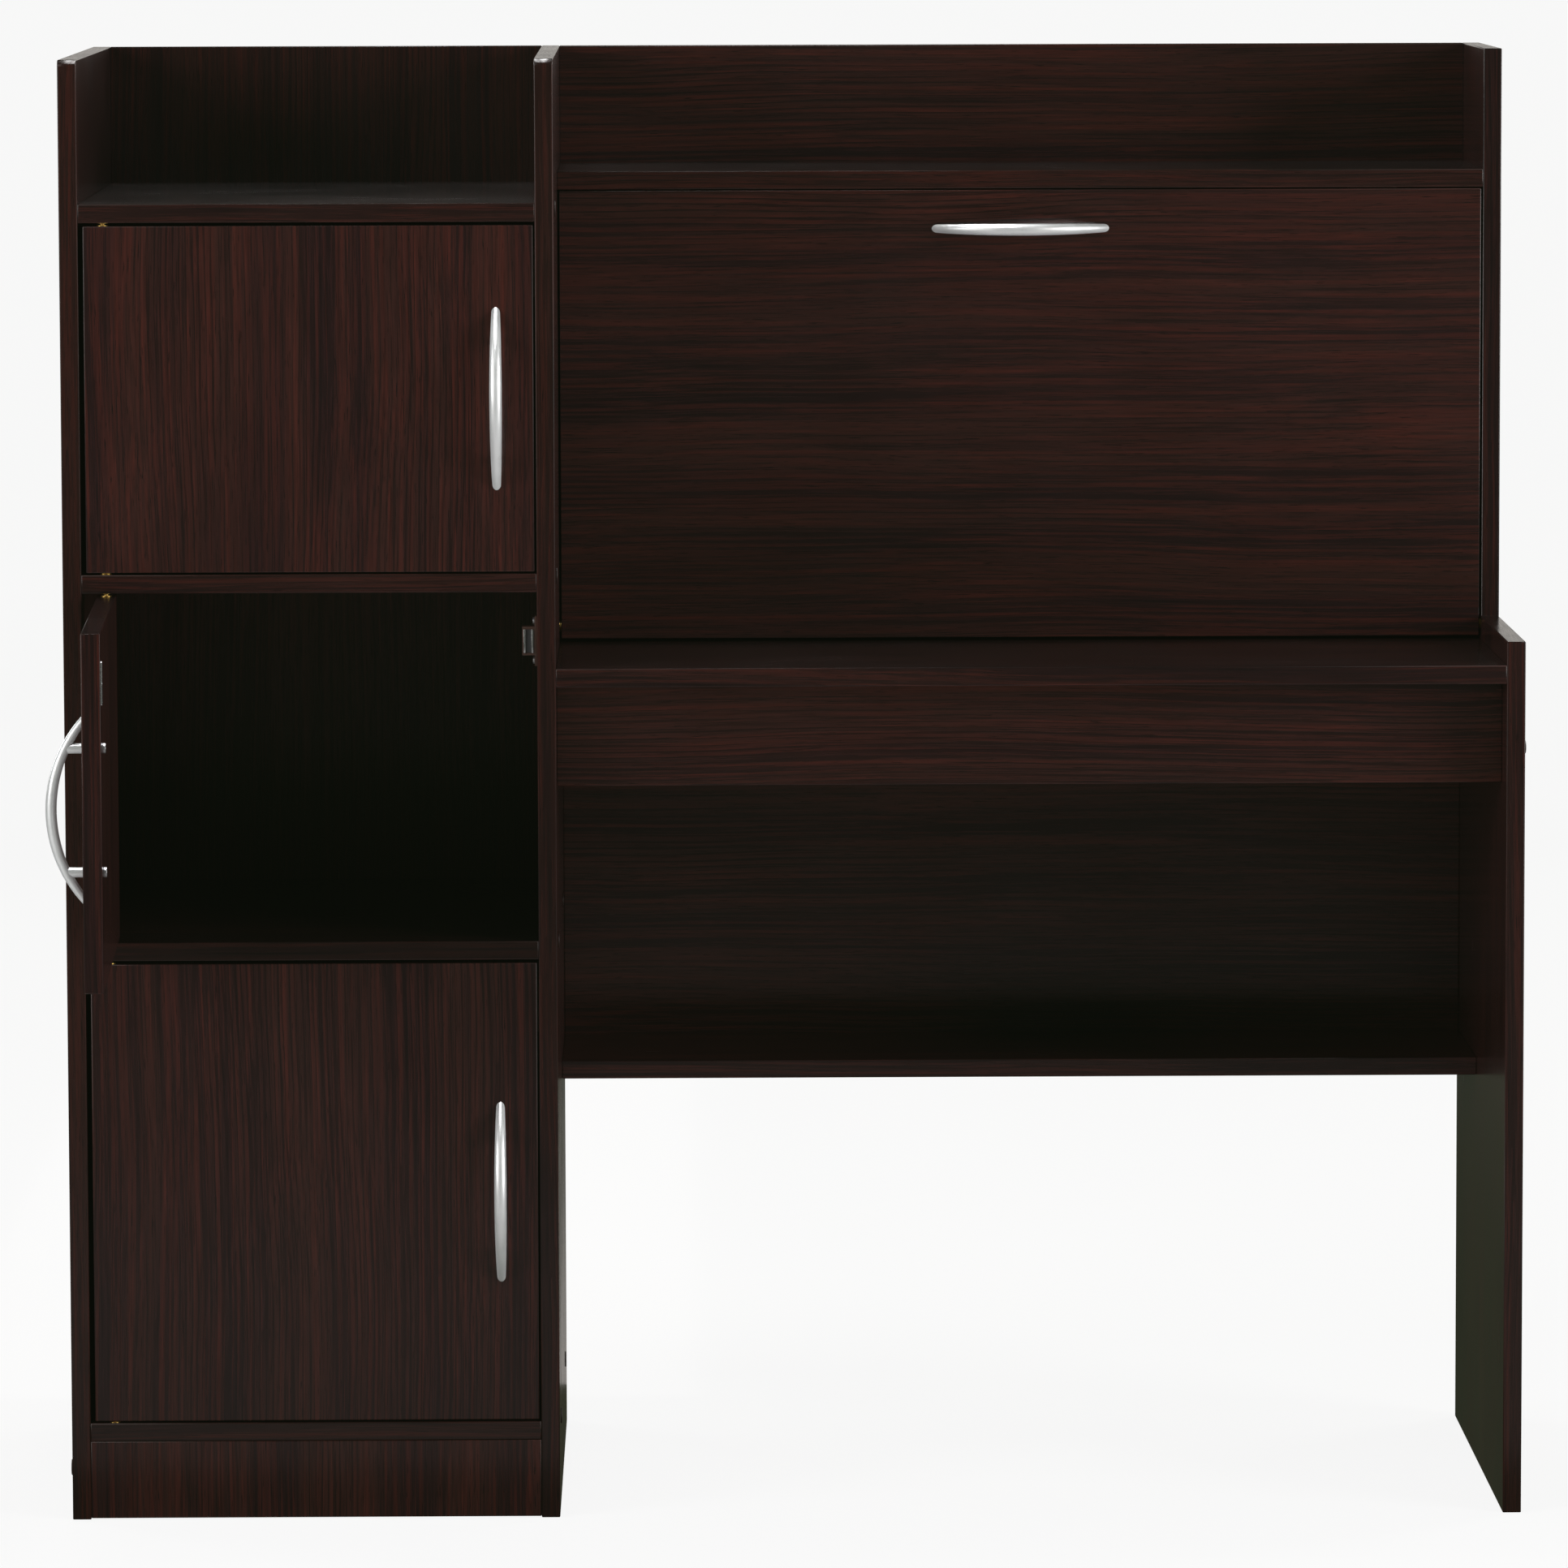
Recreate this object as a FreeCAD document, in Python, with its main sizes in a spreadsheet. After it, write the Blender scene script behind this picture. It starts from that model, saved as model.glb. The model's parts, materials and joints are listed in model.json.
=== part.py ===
"""Secretary desk: a tower with three doors and a stepped desk whose hutch has a fall-front flap.

Frame: +X to the right, +Y to the back, +Z up, millimetres. The origin is on the floor, at the centre of
the divider panel's bottom face. Every board is a body of its own, and every hole is cut for the fastener
that sits in it. The middle door stands open; the other doors and the flap are shut.
"""
import FreeCAD, Part
import math
import os
import Sketcher

SIZES = {
    # carcass
    "board": 15,
    "depth": 450,
    "height": 1180,
    "tower_width": 365,
    "desk_width": 765,
    "corner_radius": 5,
    "bottom_board_top": 79,
    "lower_shelf_top": 471,
    "middle_shelf_top": 768,
    "upper_shelf_top": 1065,
    "plinth_gap": 1,
    "plinth_setback": 0.5,
    "tower_back": 6,
    "leg_height": 710,
    "hutch_setback": 240,
    "hutch_shelf_top": 1081,
    "desktop_top": 691,
    "apron_bottom": 592,
    "apron_setback": 42,
    "under_shelf_top": 338,
    "under_shelf_setback": 260,
    # doors
    "door_gap_top": 2.6,
    "door_gap_bottom": 1.6,
    "door_gap_hinge": 4,
    "door_gap_free": 1.5,
    "door_pivot_inset": 15.5,
    "middle_door_angle": 88.5,
    # flap
    "flap_gap_top": 1,
    "flap_gap_bottom": 3,
    "flap_gap_side": 1.5,
    "flap_pivot_inset": 9.5,
    # pivots
    "pin_diameter": 4,
    "pin_length": 6,
    "pin_play": 0.1,
    "sleeve_diameter": 6.5,
    "sleeve_length": 6.8,
    "flange_diameter": 9,
    "flange_thickness": 0.5,
    # handles
    "handle_length": 144,
    "handle_rise": 29.3,
    "handle_width": 10,
    "handle_thickness": 8.6,
    "handle_tip_width": 6.2,
    "handle_tip_thickness": 5.6,
    "handle_tip_gap": 0.5,
    "handle_spacing": 96,
    "post_diameter": 8,
    "post_length": 13,
    "handle_edge_distance": 30,
    "flap_handle_drop": 32,
    # machine screws of the handles
    "handle_screw": 4,
    "handle_screw_grip": 7,
    "pan_head_diameter": 8,
    "pan_head_height": 2.4,
    # assembly screws, dowels and caps
    "screw_head": 10,
    "screw_head_depth": 3,
    "screw_shank": 7,
    "screw_thread": 5,
    "screw_length": 50,
    "hole_play": 0.1,
    "hole_overrun": 1,
    "screw_front": 70,
    "screw_rear": 345,
    "hutch_screw_front": 40,
    "hutch_screw_rear": 160,
    "under_screw_front": 35,
    "under_screw_rear": 140,
    "hutch_back_screw_rise": 80,
    "back_board_screw_inset": 60,
    "plinth_screw_height": 42,
    "plinth_dowel_height": 18,
    "apron_screw_rise": 28,
    "apron_dowel_rise": 56,
    "cap_diameter": 13,
    "cap_thickness": 1,
    "apron_cap_height": 5,
    "dowel_diameter": 8,
    "dowel_length": 24,
    "dowel_blind": 8,
    "back_screw": 3.5,
    "back_screw_head": 7,
    "back_screw_head_depth": 2,
    "back_screw_length": 25,
    "back_screw_inset": 60,
    # magnetic catches
    "catch_drop": 41,
    "catch_body_height": 23,
    "catch_ear_height": 40,
    "catch_reach": 12,
    "catch_depth": 14,
    "catch_base": 2,
    "catch_hole_inset": 4.2,
    "catch_rear_wall": 3,
    "pole_thickness": 1.6,
    "pole_height": 19,
    "pole_spacing": 6.4,
    "pole_proud": 1,
    "magnet_recess": 1,
    "strike_height": 34,
    "strike_width": 9,
    "strike_thickness": 1.2,
    "strike_corner": 1.5,
    "strike_gap": 0.4,
    "strike_screw_head": 5,
    "small_screw": 3,
    "small_screw_head": 6,
    "small_screw_head_height": 1.5,
    "small_screw_length": 11,
    "flap_catch_inset": 90,
}

document = FreeCAD.newDocument("secretary_desk")
sheet = document.addObject("Spreadsheet::Sheet", "Sizes")
for row, (alias, number) in enumerate(SIZES.items(), start=1):
    sheet.set(f"A{row}", alias)
    sheet.set(f"B{row}", str(number))
    sheet.setAlias(f"B{row}", alias)
document.recompute()

# Places in the frame, as expressions of the sheet's sizes.
FRONT = "(-Sizes.depth / 2)"
BACK = "(Sizes.depth / 2)"
TOWER_BACK = f"({BACK} - Sizes.tower_back)"
DESK_BACK = f"({BACK} - Sizes.board)"
DIVIDER_LEFT = "(-Sizes.board / 2)"
DIVIDER_RIGHT = "(Sizes.board / 2)"
TOWER_LEFT = f"({DIVIDER_LEFT} - Sizes.tower_width)"
DESK_RIGHT = f"({DIVIDER_RIGHT} + Sizes.desk_width)"
OUTER_LEFT = f"({TOWER_LEFT} - Sizes.board)"
OUTER_RIGHT = f"({DESK_RIGHT} + Sizes.board)"
HUTCH_FRONT = f"({FRONT} + Sizes.hutch_setback)"
UNDER_SHELF_FRONT = f"({FRONT} + Sizes.under_shelf_setback)"
APRON_FRONT = f"({FRONT} + Sizes.apron_setback)"
PLINTH_TOP = "(Sizes.bottom_board_top - Sizes.board)"
PLINTH_FRONT = f"({FRONT} + Sizes.plinth_setback)"
DESKTOP_BOTTOM = "(Sizes.desktop_top - Sizes.board)"
HUTCH_SHELF_BOTTOM = "(Sizes.hutch_shelf_top - Sizes.board)"
UNDER_SHELF_BOTTOM = "(Sizes.under_shelf_top - Sizes.board)"
DOOR_PIVOT_X = f"({TOWER_LEFT} + Sizes.door_gap_hinge + Sizes.door_pivot_inset)"
DOOR_PIVOT_Y = f"({FRONT} + Sizes.board / 2)"
DOOR_WIDTH = "(Sizes.tower_width - Sizes.door_gap_hinge - Sizes.door_gap_free)"
FLAP_BOTTOM = "(Sizes.desktop_top + Sizes.flap_gap_bottom)"
FLAP_HEIGHT = f"({HUTCH_SHELF_BOTTOM} - Sizes.flap_gap_top - {FLAP_BOTTOM})"
FLAP_WIDTH = "(Sizes.desk_width - 2 * Sizes.flap_gap_side)"
FLAP_PIVOT_Y = f"({HUTCH_FRONT} + Sizes.board / 2)"
FLAP_PIVOT_Z = f"({FLAP_BOTTOM} + Sizes.flap_pivot_inset)"

parts = []


def value(expression):
    """The number that an expression of the sheet's sizes gives."""
    return float(sheet.evalExpression(expression))


def middle(top):
    """Height of the middle of a board whose top is at the given height."""
    return f"({top} - Sizes.board / 2)"


# ---------------------------------------------------------------- drawing helpers

def new_body(label):
    """An empty body that becomes one named part."""
    body = document.addObject("PartDesign::Body", label)
    body.Label = label
    parts.append(body)
    return body


def new_sketch(body, role, name, offset=None):
    """A sketch on one of the body's own origin planes, moved along its normal if an offset is given."""
    sketch = body.newObject("Sketcher::SketchObject", name)
    plane = next(item for item in body.Origin.OriginFeatures if item.Role == role)
    sketch.AttachmentSupport = [(plane, "")]
    sketch.MapMode = "FlatFace"
    if offset is not None:
        sketch.setExpression(".AttachmentOffset.Base.z", offset)
    return sketch


def constrain(sketch, expression, kind, *where):
    """Adds a dimension to the sketch and binds it to an expression."""
    index = sketch.addConstraint(Sketcher.Constraint(kind, *where, value(expression)))
    sketch.setExpression(f"Constraints[{index}]", expression)


def draw_outline(sketch, corners):
    """A closed outline of level and upright lines; corners are pairs of expressions, first at the origin.

    Each corner differs from the one before in one coordinate only, and the coordinates aren't negative.
    """
    points = [FreeCAD.Vector(value(across), value(up), 0) for across, up in corners]
    count = len(points)
    for index in range(count):
        sketch.addGeometry(Part.LineSegment(points[index], points[(index + 1) % count]))
    for index in range(count):
        following = (index + 1) % count
        sketch.addConstraint(Sketcher.Constraint("Coincident", index, 2, following, 1))
        level = corners[index][1] == corners[following][1]
        sketch.addConstraint(Sketcher.Constraint("Horizontal" if level else "Vertical", index))
    sketch.addConstraint(Sketcher.Constraint("Coincident", 0, 1, -1, 1))
    placed_across, placed_up = {"0"}, {"0"}
    for index, (across, up) in enumerate(corners[1:], start=1):
        previous = corners[index - 1]
        if across != previous[0] and across not in placed_across:
            constrain(sketch, across, "DistanceX", -1, 1, index, 1)
            placed_across.add(across)
        if up != previous[1] and up not in placed_up:
            constrain(sketch, up, "DistanceY", -1, 1, index, 1)
            placed_up.add(up)


def draw_circles(sketch, centres, diameter):
    """Circles of one diameter; centres are pairs of expressions, and the coordinates aren't negative."""
    for across, up in centres:
        centre = FreeCAD.Vector(value(across), value(up), 0)
        index = sketch.addGeometry(Part.Circle(centre, FreeCAD.Vector(0, 0, 1), value(diameter) / 2))
        constrain(sketch, diameter, "Diameter", index)
        constrain(sketch, across, "DistanceX", -1, 1, index, 3)
        constrain(sketch, up, "DistanceY", -1, 1, index, 3)


def draw_circle_pair(sketch, spacing, diameter):
    """Two circles side by side about the sketch's origin."""
    half = value(spacing) / 2
    for across in (half, -half):
        centre = FreeCAD.Vector(across, 0, 0)
        sketch.addGeometry(Part.Circle(centre, FreeCAD.Vector(0, 0, 1), value(diameter) / 2))
        constrain(sketch, diameter, "Diameter", sketch.GeometryCount - 1)
    sketch.addConstraint(Sketcher.Constraint("PointOnObject", 0, 3, -1))
    sketch.addConstraint(Sketcher.Constraint("Symmetric", 0, 3, 1, 3, -1, 1))
    constrain(sketch, spacing, "DistanceX", 1, 3, 0, 3)


def add_pad(body, sketch, length, reversed_side=False, symmetric=False):
    """Pads a sketch along its normal, or to both sides of it."""
    pad = body.newObject("PartDesign::Pad", f"{sketch.Name}_pad")
    pad.Profile = sketch
    pad.setExpression("Length", length)
    pad.Reversed = reversed_side
    if symmetric:
        pad.SideType = "Symmetric"
    document.recompute()
    return pad


def add_pocket(body, sketch, depth, along_normal=False):
    """Cuts a sketch against its normal, or along it, and makes sure that it took material away."""
    before = body.Shape.Volume
    pocket = body.newObject("PartDesign::Pocket", f"{sketch.Name}_pocket")
    pocket.Profile = sketch
    pocket.setExpression("Length", depth)
    pocket.Reversed = along_normal
    document.recompute()
    if body.Shape.Volume >= before:
        raise RuntimeError(f"{sketch.Name} in {body.Label} cuts nothing")
    return pocket


def place(part, x, y, z):
    """Binds a part's place to expressions."""
    for axis, expression in (("x", x), ("y", y), ("z", z)):
        part.setExpression(f".Placement.Base.{axis}", expression)


def span(low, high):
    """Expression of the distance between two places."""
    return f"({high} - {low})"


def loose_board(label, length, width, height):
    """A rectangular board with its low corner at the origin; the sizes are expressions."""
    body = new_body(label)
    sketch = new_sketch(body, "XY_Plane", f"{label}_outline")
    draw_outline(sketch, [("0", "0"), (length, "0"), (length, width), ("0", width)])
    add_pad(body, sketch, height)
    return body


def new_board(label, low, high):
    """A rectangular board between two corners given as expressions, with its own frame at the low corner."""
    length, width, height = [span(*ends) for ends in zip(low, high)]
    body = loose_board(label, length, width, height)
    place(body, *low)
    return body


def drill(body, role, name, centres, diameter, depth, offset=None, along_normal=False):
    """Round holes of one size from one plane of the body."""
    sketch = new_sketch(body, role, name, offset)
    draw_circles(sketch, centres, diameter)
    add_pocket(body, sketch, depth, along_normal)


def group(label, solids):
    """Identical separate solids, kept in one part."""
    feature = document.addObject("Part::Feature", label)
    feature.Label = label
    feature.Shape = Part.makeCompound(solids)
    parts.append(feature)
    return feature


def turned(steps, bore=0.0, bore_depth=0.0):
    """A turned piece along +X from the origin, made of (diameter, length) steps, with a blind bore."""
    start = 0.0
    solid = None
    for diameter, length in steps:
        step = Part.makeCylinder(diameter / 2, length, FreeCAD.Vector(start, 0, 0), FreeCAD.Vector(1, 0, 0))
        solid = step if solid is None else solid.fuse(step)
        start += length
    if bore:
        hole = Part.makeCylinder(bore / 2, bore_depth, FreeCAD.Vector(0, 0, 0), FreeCAD.Vector(1, 0, 0))
        solid = solid.cut(hole)
    return solid.removeSplitter()


def aimed(solid, point, direction):
    """A copy of a piece that was made along +X, moved to a point and turned to a direction."""
    copy = solid.copy()
    turn = FreeCAD.Rotation(FreeCAD.Vector(1, 0, 0), FreeCAD.Vector(*direction))
    copy.Placement = FreeCAD.Placement(FreeCAD.Vector(*point), turn)
    return copy


# ---------------------------------------------------------------- where the fasteners go

DEEP = [f"({FRONT} + Sizes.screw_front)", f"({FRONT} + Sizes.screw_rear)"]
HUTCH_DEEP = [f"({HUTCH_FRONT} + Sizes.hutch_screw_front)", f"({HUTCH_FRONT} + Sizes.hutch_screw_rear)"]
UNDER_DEEP = [f"({UNDER_SHELF_FRONT} + Sizes.under_screw_front)",
              f"({UNDER_SHELF_FRONT} + Sizes.under_screw_rear)"]
BACK_MIDDLE = f"({BACK} - Sizes.board / 2)"
PLINTH_MIDDLE = f"({PLINTH_FRONT} + Sizes.board / 2)"
APRON_MIDDLE = f"({APRON_FRONT} + Sizes.board / 2)"

TOWER_SCREWS = {
    "tower_bottom_board": [(deep, middle("Sizes.bottom_board_top")) for deep in DEEP],
    "lower_tower_shelf": [(deep, middle("Sizes.lower_shelf_top")) for deep in DEEP],
    "middle_tower_shelf": [(deep, middle("Sizes.middle_shelf_top")) for deep in DEEP],
    "upper_tower_shelf": [(deep, middle("Sizes.upper_shelf_top")) for deep in DEEP],
    "plinth_board": [(PLINTH_MIDDLE, "Sizes.plinth_screw_height")],
}
DESK_SCREWS = {
    "desktop_board": [(deep, middle("Sizes.desktop_top")) for deep in DEEP],
    "hutch_shelf": [(deep, middle("Sizes.hutch_shelf_top")) for deep in HUTCH_DEEP],
    "under_desk_shelf": [(deep, middle("Sizes.under_shelf_top")) for deep in UNDER_DEEP],
    "desk_apron": [(APRON_MIDDLE, "(Sizes.apron_bottom + Sizes.apron_screw_rise)")],
    "hutch_back_panel": [(BACK_MIDDLE, "(Sizes.desktop_top + Sizes.hutch_back_screw_rise)"),
                         (BACK_MIDDLE, "(Sizes.height - Sizes.back_board_screw_inset)")],
    "lower_back_panel": [(BACK_MIDDLE, f"({UNDER_SHELF_BOTTOM} + Sizes.back_board_screw_inset)"),
                         (BACK_MIDDLE, f"({DESKTOP_BOTTOM} - Sizes.back_board_screw_inset)")],
}
PLINTH_DOWEL = (PLINTH_MIDDLE, "Sizes.plinth_dowel_height")
APRON_DOWEL = (APRON_MIDDLE, "(Sizes.apron_bottom + Sizes.apron_dowel_rise)")
BACK_SCREW_INSETS = ["Sizes.back_screw_inset", "(Sizes.tower_width - Sizes.back_screw_inset)"]
BACK_SCREW_HEIGHTS = [middle("Sizes.bottom_board_top"), middle("Sizes.lower_shelf_top"),
                      middle("Sizes.middle_shelf_top"), middle("Sizes.upper_shelf_top")]


def all_points(table):
    """Every screw place of a table, as (y, z) pairs of expressions."""
    return [point for points in table.values() for point in points]


def local(points, y_low, z_low):
    """Moves (y, z) places into the frame of a part whose low corner is given."""
    return [(f"({y} - {y_low})", f"({z} - {z_low})") for y, z in points]


# ---------------------------------------------------------------- side panels

def outline_panel(label, corners, x_low):
    """An upright panel whose outline is drawn from the side, with its own frame at its lower front corner."""
    body = new_body(label)
    sketch = new_sketch(body, "YZ_Plane", f"{label}_outline")
    draw_outline(sketch, corners)
    add_pad(body, sketch, "Sizes.board")
    place(body, x_low, FRONT, "0")
    return body


def round_top_corner(body):
    """Rounds the edge between a panel's front edge and its top edge."""
    top = value("Sizes.height")
    pad = body.Tip
    for index, edge in enumerate(pad.Shape.Edges, start=1):
        centre = edge.CenterOfMass
        if abs(centre.y) < 0.01 and abs(centre.z - top) < 0.01:
            fillet = body.newObject("PartDesign::Fillet", f"{body.Label}_corner")
            fillet.Base = (pad, [f"Edge{index}"])
            fillet.setExpression("Radius", "Sizes.corner_radius")
            document.recompute()
            return
    raise RuntimeError(f"{body.Label} has no top front edge")


def drill_screw_entries(body, name, points, from_right):
    """Through holes for assembly screws, with a recess for each head on the side that they enter."""
    places = local(points, FRONT, "0")
    drill(body, "YZ_Plane", f"{name}_shanks", places, "(Sizes.screw_shank + Sizes.hole_play)", "Sizes.board",
          along_normal=True)
    entry = "Sizes.board" if from_right else "0"
    drill(body, "YZ_Plane", f"{name}_heads", places, "(Sizes.screw_head + Sizes.hole_play)",
          "Sizes.screw_head_depth", offset=entry, along_normal=not from_right)


def drill_dowel_seat(body, name, point, into_right_face):
    """Blind hole for a dowel in a panel's inner face."""
    face = "Sizes.board" if into_right_face else "0"
    drill(body, "YZ_Plane", name, local([point], FRONT, "0"), "(Sizes.dowel_diameter + Sizes.hole_play)",
          "(Sizes.dowel_blind + Sizes.hole_play)", offset=face, along_normal=not into_right_face)


def make_left_side_panel():
    outline = [("0", "0"), ("Sizes.depth", "0"), ("Sizes.depth", "Sizes.height"), ("0", "Sizes.height")]
    body = outline_panel("left_side_panel", outline, OUTER_LEFT)
    round_top_corner(body)
    drill_screw_entries(body, "left_screws", all_points(TOWER_SCREWS), from_right=False)
    drill_dowel_seat(body, "left_dowel", PLINTH_DOWEL, into_right_face=True)


def make_centre_divider():
    outline = [("0", "0"), ("Sizes.depth", "0"), ("Sizes.depth", "Sizes.height"), ("0", "Sizes.height")]
    body = outline_panel("centre_divider", outline, DIVIDER_LEFT)
    round_top_corner(body)
    drill_screw_entries(body, "tower_screws", all_points(TOWER_SCREWS), from_right=True)
    drill_screw_entries(body, "desk_screws", all_points(DESK_SCREWS), from_right=False)
    drill_dowel_seat(body, "plinth_dowel", PLINTH_DOWEL, into_right_face=False)
    drill_dowel_seat(body, "apron_dowel", APRON_DOWEL, into_right_face=True)
    drill_flap_socket(body, "flap_socket", into_right_face=True)
    for door in DOORS:
        drill_catch_screws(body, door)


def make_right_side_panel():
    """The desk's leg up to the leg's top, and the hutch's side set back above it."""
    outline = [("0", "0"), ("Sizes.depth", "0"), ("Sizes.depth", "Sizes.height"),
               ("Sizes.hutch_setback", "Sizes.height"), ("Sizes.hutch_setback", "Sizes.leg_height"),
               ("0", "Sizes.leg_height")]
    body = outline_panel("right_side_panel", outline, DESK_RIGHT)
    drill_screw_entries(body, "right_screws", all_points(DESK_SCREWS), from_right=True)
    drill_dowel_seat(body, "right_dowel", APRON_DOWEL, into_right_face=False)
    drill_flap_socket(body, "right_flap_socket", into_right_face=False)


def drill_flap_socket(body, name, into_right_face):
    """Seat of the flap's pivot socket in a panel's inner face."""
    face = "Sizes.board" if into_right_face else "0"
    places = local([(FLAP_PIVOT_Y, FLAP_PIVOT_Z)], FRONT, "0")
    drill(body, "YZ_Plane", name, places, "(Sizes.sleeve_diameter + Sizes.hole_play)",
          "(Sizes.sleeve_length + Sizes.hole_play)", offset=face, along_normal=not into_right_face)


# ---------------------------------------------------------------- boards between the panels

def drill_ends(body, label, low, high, points, dowels=()):
    """Pilot holes for the assembly screws, and dowel holes, in both ends of a board."""
    length = span(low[0], high[0])
    pilot = "(Sizes.screw_length - Sizes.board + Sizes.hole_overrun)"
    dowel_depth = "(Sizes.dowel_length - Sizes.dowel_blind + Sizes.hole_play)"
    for side, offset, inward in (("left", None, True), ("right", length, False)):
        drill(body, "YZ_Plane", f"{label}_{side}_pilots", local(points, low[1], low[2]),
              "(Sizes.screw_thread + Sizes.hole_play)", pilot, offset=offset, along_normal=inward)
        if dowels:
            drill(body, "YZ_Plane", f"{label}_{side}_dowels", local(dowels, low[1], low[2]),
                  "(Sizes.dowel_diameter + Sizes.hole_play)", dowel_depth, offset=offset, along_normal=inward)


def make_tower_board(label, top, pivot_above, pivot_below):
    """A tower shelf: drilled in its ends, in its rear edge and for the doors' pivot sockets."""
    low = (TOWER_LEFT, FRONT, f"({top} - Sizes.board)")
    high = (DIVIDER_LEFT, TOWER_BACK, top)
    body = new_board(label, low, high)
    drill_ends(body, label, low, high, TOWER_SCREWS[label])
    rear = [(inset, "(Sizes.board / 2)") for inset in BACK_SCREW_INSETS]
    drill(body, "XZ_Plane", f"{label}_rear", rear, "(Sizes.back_screw + Sizes.hole_play)",
          "(Sizes.back_screw_length - Sizes.tower_back + Sizes.hole_overrun)",
          offset=f"(-{span(FRONT, TOWER_BACK)})", along_normal=True)
    pivot = [(span(TOWER_LEFT, DOOR_PIVOT_X), span(FRONT, DOOR_PIVOT_Y))]
    seat = "(Sizes.sleeve_length + Sizes.hole_play)"
    width = "(Sizes.sleeve_diameter + Sizes.hole_play)"
    if pivot_above:
        drill(body, "XY_Plane", f"{label}_upper_seat", pivot, width, seat, offset="Sizes.board")
    if pivot_below:
        drill(body, "XY_Plane", f"{label}_lower_seat", pivot, width, seat, along_normal=True)


def make_plinth_board():
    low = (TOWER_LEFT, PLINTH_FRONT, "Sizes.plinth_gap")
    high = (DIVIDER_LEFT, f"({PLINTH_FRONT} + Sizes.board)", PLINTH_TOP)
    body = new_board("plinth_board", low, high)
    drill_ends(body, "plinth_board", low, high, TOWER_SCREWS["plinth_board"], [PLINTH_DOWEL])


def make_tower_back_panel():
    """Thin back between the side panel and the divider, screwed to the rear edges of the tower's boards."""
    low = (TOWER_LEFT, TOWER_BACK, PLINTH_TOP)
    high = (DIVIDER_LEFT, BACK, "Sizes.height")
    body = new_board("tower_back_panel", low, high)
    places = [(inset, f"({height} - {PLINTH_TOP})")
              for height in BACK_SCREW_HEIGHTS for inset in BACK_SCREW_INSETS]
    drill(body, "XZ_Plane", "back_screw_holes", places, "(Sizes.back_screw + Sizes.hole_play)",
          "Sizes.tower_back")
    drill(body, "XZ_Plane", "back_screw_recesses", places, "(Sizes.back_screw_head + Sizes.hole_play)",
          "Sizes.back_screw_head_depth", offset="(-Sizes.tower_back)", along_normal=True)


def make_desk_board(label, y_low, y_high, z_low, z_high, dowels=()):
    """A board between the divider and the right side panel."""
    low = (DIVIDER_RIGHT, y_low, z_low)
    high = (DESK_RIGHT, y_high, z_high)
    body = new_board(label, low, high)
    drill_ends(body, label, low, high, DESK_SCREWS[label], dowels)
    return body


def make_boards():
    make_tower_board("tower_bottom_board", "Sizes.bottom_board_top", pivot_above=True, pivot_below=False)
    make_tower_board("lower_tower_shelf", "Sizes.lower_shelf_top", pivot_above=True, pivot_below=True)
    make_tower_board("middle_tower_shelf", "Sizes.middle_shelf_top", pivot_above=True, pivot_below=True)
    make_tower_board("upper_tower_shelf", "Sizes.upper_shelf_top", pivot_above=False, pivot_below=True)
    make_plinth_board()
    make_tower_back_panel()
    make_desk_board("desktop_board", FRONT, BACK, DESKTOP_BOTTOM, "Sizes.desktop_top")
    make_desk_board("desk_apron", APRON_FRONT, f"({APRON_FRONT} + Sizes.board)", "Sizes.apron_bottom",
                    DESKTOP_BOTTOM, [APRON_DOWEL])
    make_desk_board("under_desk_shelf", UNDER_SHELF_FRONT, DESK_BACK, UNDER_SHELF_BOTTOM,
                    "Sizes.under_shelf_top")
    make_desk_board("lower_back_panel", DESK_BACK, BACK, UNDER_SHELF_BOTTOM, DESKTOP_BOTTOM)
    make_desk_board("hutch_back_panel", DESK_BACK, BACK, "Sizes.desktop_top", "Sizes.height")
    shelf = make_desk_board("hutch_shelf", HUTCH_FRONT, DESK_BACK, HUTCH_SHELF_BOTTOM,
                            "Sizes.hutch_shelf_top")
    holes = [(f"({along} - {DIVIDER_RIGHT})", f"({deep} - {HUTCH_FRONT})")
             for along, deep in flap_catch_screws()]
    drill(shelf, "XY_Plane", "flap_catch_pilots", holes, "(Sizes.small_screw + Sizes.hole_play)",
          "Sizes.small_screw_length", along_normal=True)


# ---------------------------------------------------------------- fasteners of the carcass

def make_assembly_screws():
    """Assembly screws with flush heads, driven through the panels into the boards' ends."""
    flush = value("Sizes.screw_head_depth")
    neck = value("Sizes.board") - flush
    tail = value("Sizes.screw_length") - value("Sizes.board")
    screw = turned([(value("Sizes.screw_head"), flush), (value("Sizes.screw_shank"), neck),
                    (value("Sizes.screw_thread"), tail)])
    runs = (("tower_assembly_screws", TOWER_SCREWS, OUTER_LEFT, DIVIDER_RIGHT),
            ("desk_assembly_screws", DESK_SCREWS, DIVIDER_LEFT, OUTER_RIGHT))
    for label, table, left_face, right_face in runs:
        solids = []
        for y, z in all_points(table):
            solids.append(aimed(screw, (value(left_face), value(y), value(z)), (1, 0, 0)))
            solids.append(aimed(screw, (value(right_face), value(y), value(z)), (-1, 0, 0)))
        group(label, solids)


def domed_cap(diameter, height):
    """A round cap along +X whose rim is softened over half its height."""
    disc = Part.makeCylinder(diameter / 2, height, FreeCAD.Vector(0, 0, 0), FreeCAD.Vector(1, 0, 0))
    rim = [edge for edge in disc.Edges if abs(edge.CenterOfMass.x - height) < 0.01 and edge.Closed]
    return disc.makeFillet(height / 2, rim[:1])


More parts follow.
